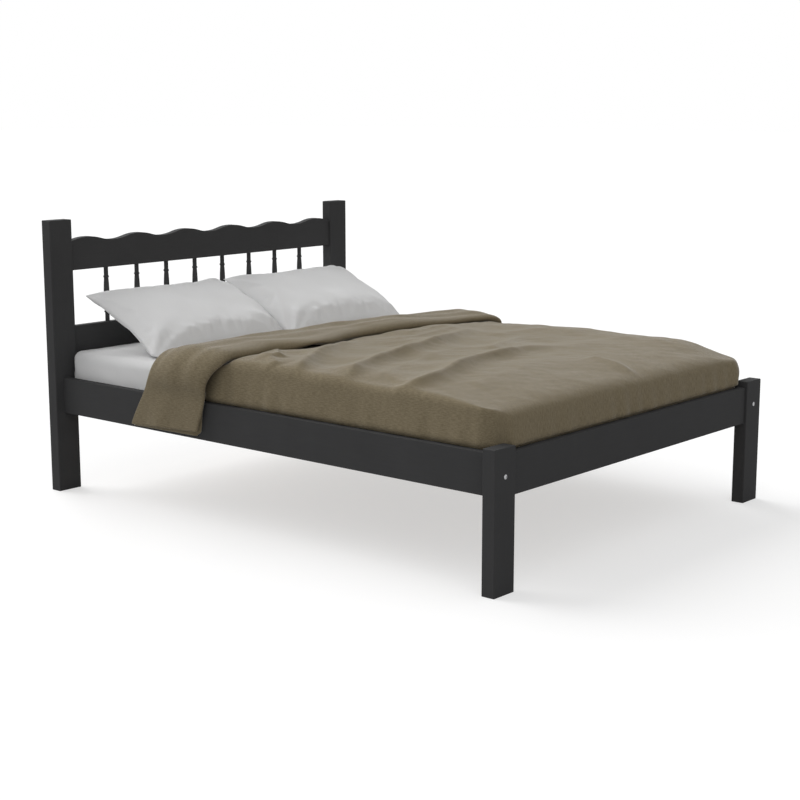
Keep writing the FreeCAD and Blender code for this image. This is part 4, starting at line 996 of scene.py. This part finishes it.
    def lay(self, cover, low, high):
        """Turns the filled pillow to its slope, lets its front corners hang, and presses it on the sheet.

        Pressed height = floor + pressed gap, and the same against the headboard.
        """
        size = sizes()
        points = self.points(cover.data)
        reach = (points[:, 0] / (size.pillow_wide / 2)) ** 2 * ease(-points[:, 1], 0.02, size.pillow_long / 2)
        points[:, 2] -= size.pillow_hang * reach
        slope = size.pillow_slope
        y, z = points[:, 1].copy(), points[:, 2].copy()
        points[:, 1] = y * math.cos(slope) - z * math.sin(slope) + (low.y + high.y) / 2
        points[:, 2] = y * math.sin(slope) + z * math.cos(slope) + (low.z + high.z) / 2 + size.pillow_lift
        points[:, 0] += (low.x + high.x) / 2
        floor, wall = SHEET_HIGH.z + 0.002, high.y
        points[:, 2] = floor + self.pressed(points[:, 2] - floor)
        points[:, 1] = wall - self.pressed(wall - points[:, 1])
        self.place(cover.data, points)
        cover.data.polygons.foreach_set("use_smooth", np.ones(len(cover.data.polygons), bool))
        finer = cover.modifiers.new("finer", "SUBSURF")
        finer.levels = 1
        finer.render_levels = 1

    def pressed(self, gap):
        """A gap that never closes: (gap + root(gap^2 + soft^2)) / 2."""
        return 0.5 * (gap + np.sqrt(gap ** 2 + self.SOFT ** 2))


class BED_OT_stage(bpy.types.Operator):
    """Sets the floor, the light and the camera"""

    bl_idname = "bed.stage"
    bl_label = "Stage"

    SENSOR = 36.0
    KEY_TURN = (math.radians(-55.0), 0.0, 0.0)
    FILL_TURN = (math.radians(51.0), 0.0, math.radians(-45.0))
    SUN_SPREAD = math.radians(60.0)
    FLOOR_HALF, FLOOR_DROP = 60.0, 0.0006
    SEEN_RAYS = ("Is Camera Ray", "Is Glossy Ray", "Is Transmission Ray")

    def execute(self, context):
        stage = context.scene.bed_stage
        self.floor(stage)
        self.world(context, stage)
        self.sun("key", stage.key, self.KEY_TURN)
        self.sun("fill", stage.fill, self.FILL_TURN)
        camera = bpy.data.cameras.new("camera")
        camera.sensor_width = self.SENSOR
        camera.lens = stage.lens
        seat = bpy.data.objects.new("camera", camera)
        seat.location = stage.eye
        seat.rotation_euler = (math.pi / 2 + stage.pitch, 0.0, -stage.yaw)
        context.scene.collection.objects.link(seat)
        context.scene.camera = seat
        context.scene.view_settings.view_transform = "Standard"
        return {"FINISHED"}

    def seen(self, finish):
        """1 for rays from the eye, mirrors and glass, 0 for the light that falls on the bed."""
        path = finish.node("ShaderNodeLightPath").socket.node.outputs
        camera, glossy, through = [Wire(finish, path[name]) for name in self.SEEN_RAYS]
        return camera.top(glossy).top(through)

    def floor(self, stage):
        """A wide plane: matt and pale, with a glow of its own that only the eye sees."""
        finish = Finish("studio_floor")
        matt = finish.node("ShaderNodeBsdfDiffuse", None, {"Color": colour("floor")})
        glow = finish.node("ShaderNodeEmission", None,
                           {"Color": (1.0, 1.0, 1.0), "Strength": self.seen(finish) * stage.glow})
        both = finish.node("ShaderNodeAddShader", None, {0: matt, 1: glow})
        finish.tree.links.new(both.socket, finish.output.inputs["Surface"])
        side = np.linspace(-self.FLOOR_HALF, self.FLOOR_HALF, 2)
        grid_x, grid_y = np.meshgrid(side, side)
        points = np.stack([grid_x, grid_y, np.full_like(grid_x, -self.FLOOR_DROP)], -1).reshape(-1, 3)
        piece("studio_floor", points, faces_between(2, 2), finish.material)

    def world(self, context, stage):
        """Even light all round the bed, which the eye sees as white."""
        world = bpy.data.worlds.new("studio")
        world.use_nodes = True
        finish = Finish.__new__(Finish)
        finish.tree = world.node_tree
        finish.tree.nodes.clear()
        output = finish.tree.nodes.new("ShaderNodeOutputWorld")
        seen = self.seen(finish)
        strength = seen + (1.0 - seen) * stage.ambient
        light = finish.node("ShaderNodeBackground", None, {"Color": (1.0, 1.0, 1.0), "Strength": strength})
        finish.tree.links.new(light.socket, output.inputs["Surface"])
        context.scene.world = world

    def sun(self, name, strength, turn):
        """A wide, soft lamp far away, turned from straight down."""
        lamp = bpy.data.lights.new(name, "SUN")
        lamp.energy = strength
        lamp.angle = self.SUN_SPREAD
        place = bpy.data.objects.new(name, lamp)
        place.rotation_euler = turn
        place.location = (0.0, 0.0, 4.0)
        bpy.context.scene.collection.objects.link(place)


class BED_PT_pieces(bpy.types.Panel):
    """Lists the pieces and their sizes and colours"""

    bl_idname = "BED_PT_pieces"
    bl_label = "Dressed bed"
    bl_space_type = "VIEW_3D"
    bl_region_type = "UI"
    bl_category = "Bed"

    def draw(self, context):
        for operator in OPERATORS:
            self.layout.operator(operator.bl_idname)
        for group in (context.scene.bedding_sizes, context.scene.bed_colours, context.scene.bed_stage):
            column = self.layout.column()
            for name in group.bl_rna.properties.keys()[2:]:
                column.prop(group, name)


OPERATORS = (BED_OT_stage, BED_OT_frame_finish, BED_OT_mattress, BED_OT_fitted_sheet, BED_OT_comforter,
             BED_OT_pillows)
GROUPS = {"bed_colours": BedColours, "bedding_sizes": BeddingSizes, "bed_stage": StageSettings}
CLASSES = (*GROUPS.values(), *OPERATORS, BED_PT_pieces)


def register():
    for made in CLASSES:
        bpy.utils.register_class(made)
    for name, group in GROUPS.items():
        setattr(bpy.types.Scene, name, PointerProperty(type=group))


def unregister():
    for name in GROUPS:
        delattr(bpy.types.Scene, name)
    for made in reversed(CLASSES):
        bpy.utils.unregister_class(made)


def main():
    register()
    bpy.ops.bed.stage()
    bpy.ops.bed.frame_finish()
    bpy.ops.bed.mattress()
    bpy.ops.bed.fitted_sheet()
    bpy.ops.bed.comforter()
    bpy.ops.bed.pillows()


if __name__ == "__main__":
    main()
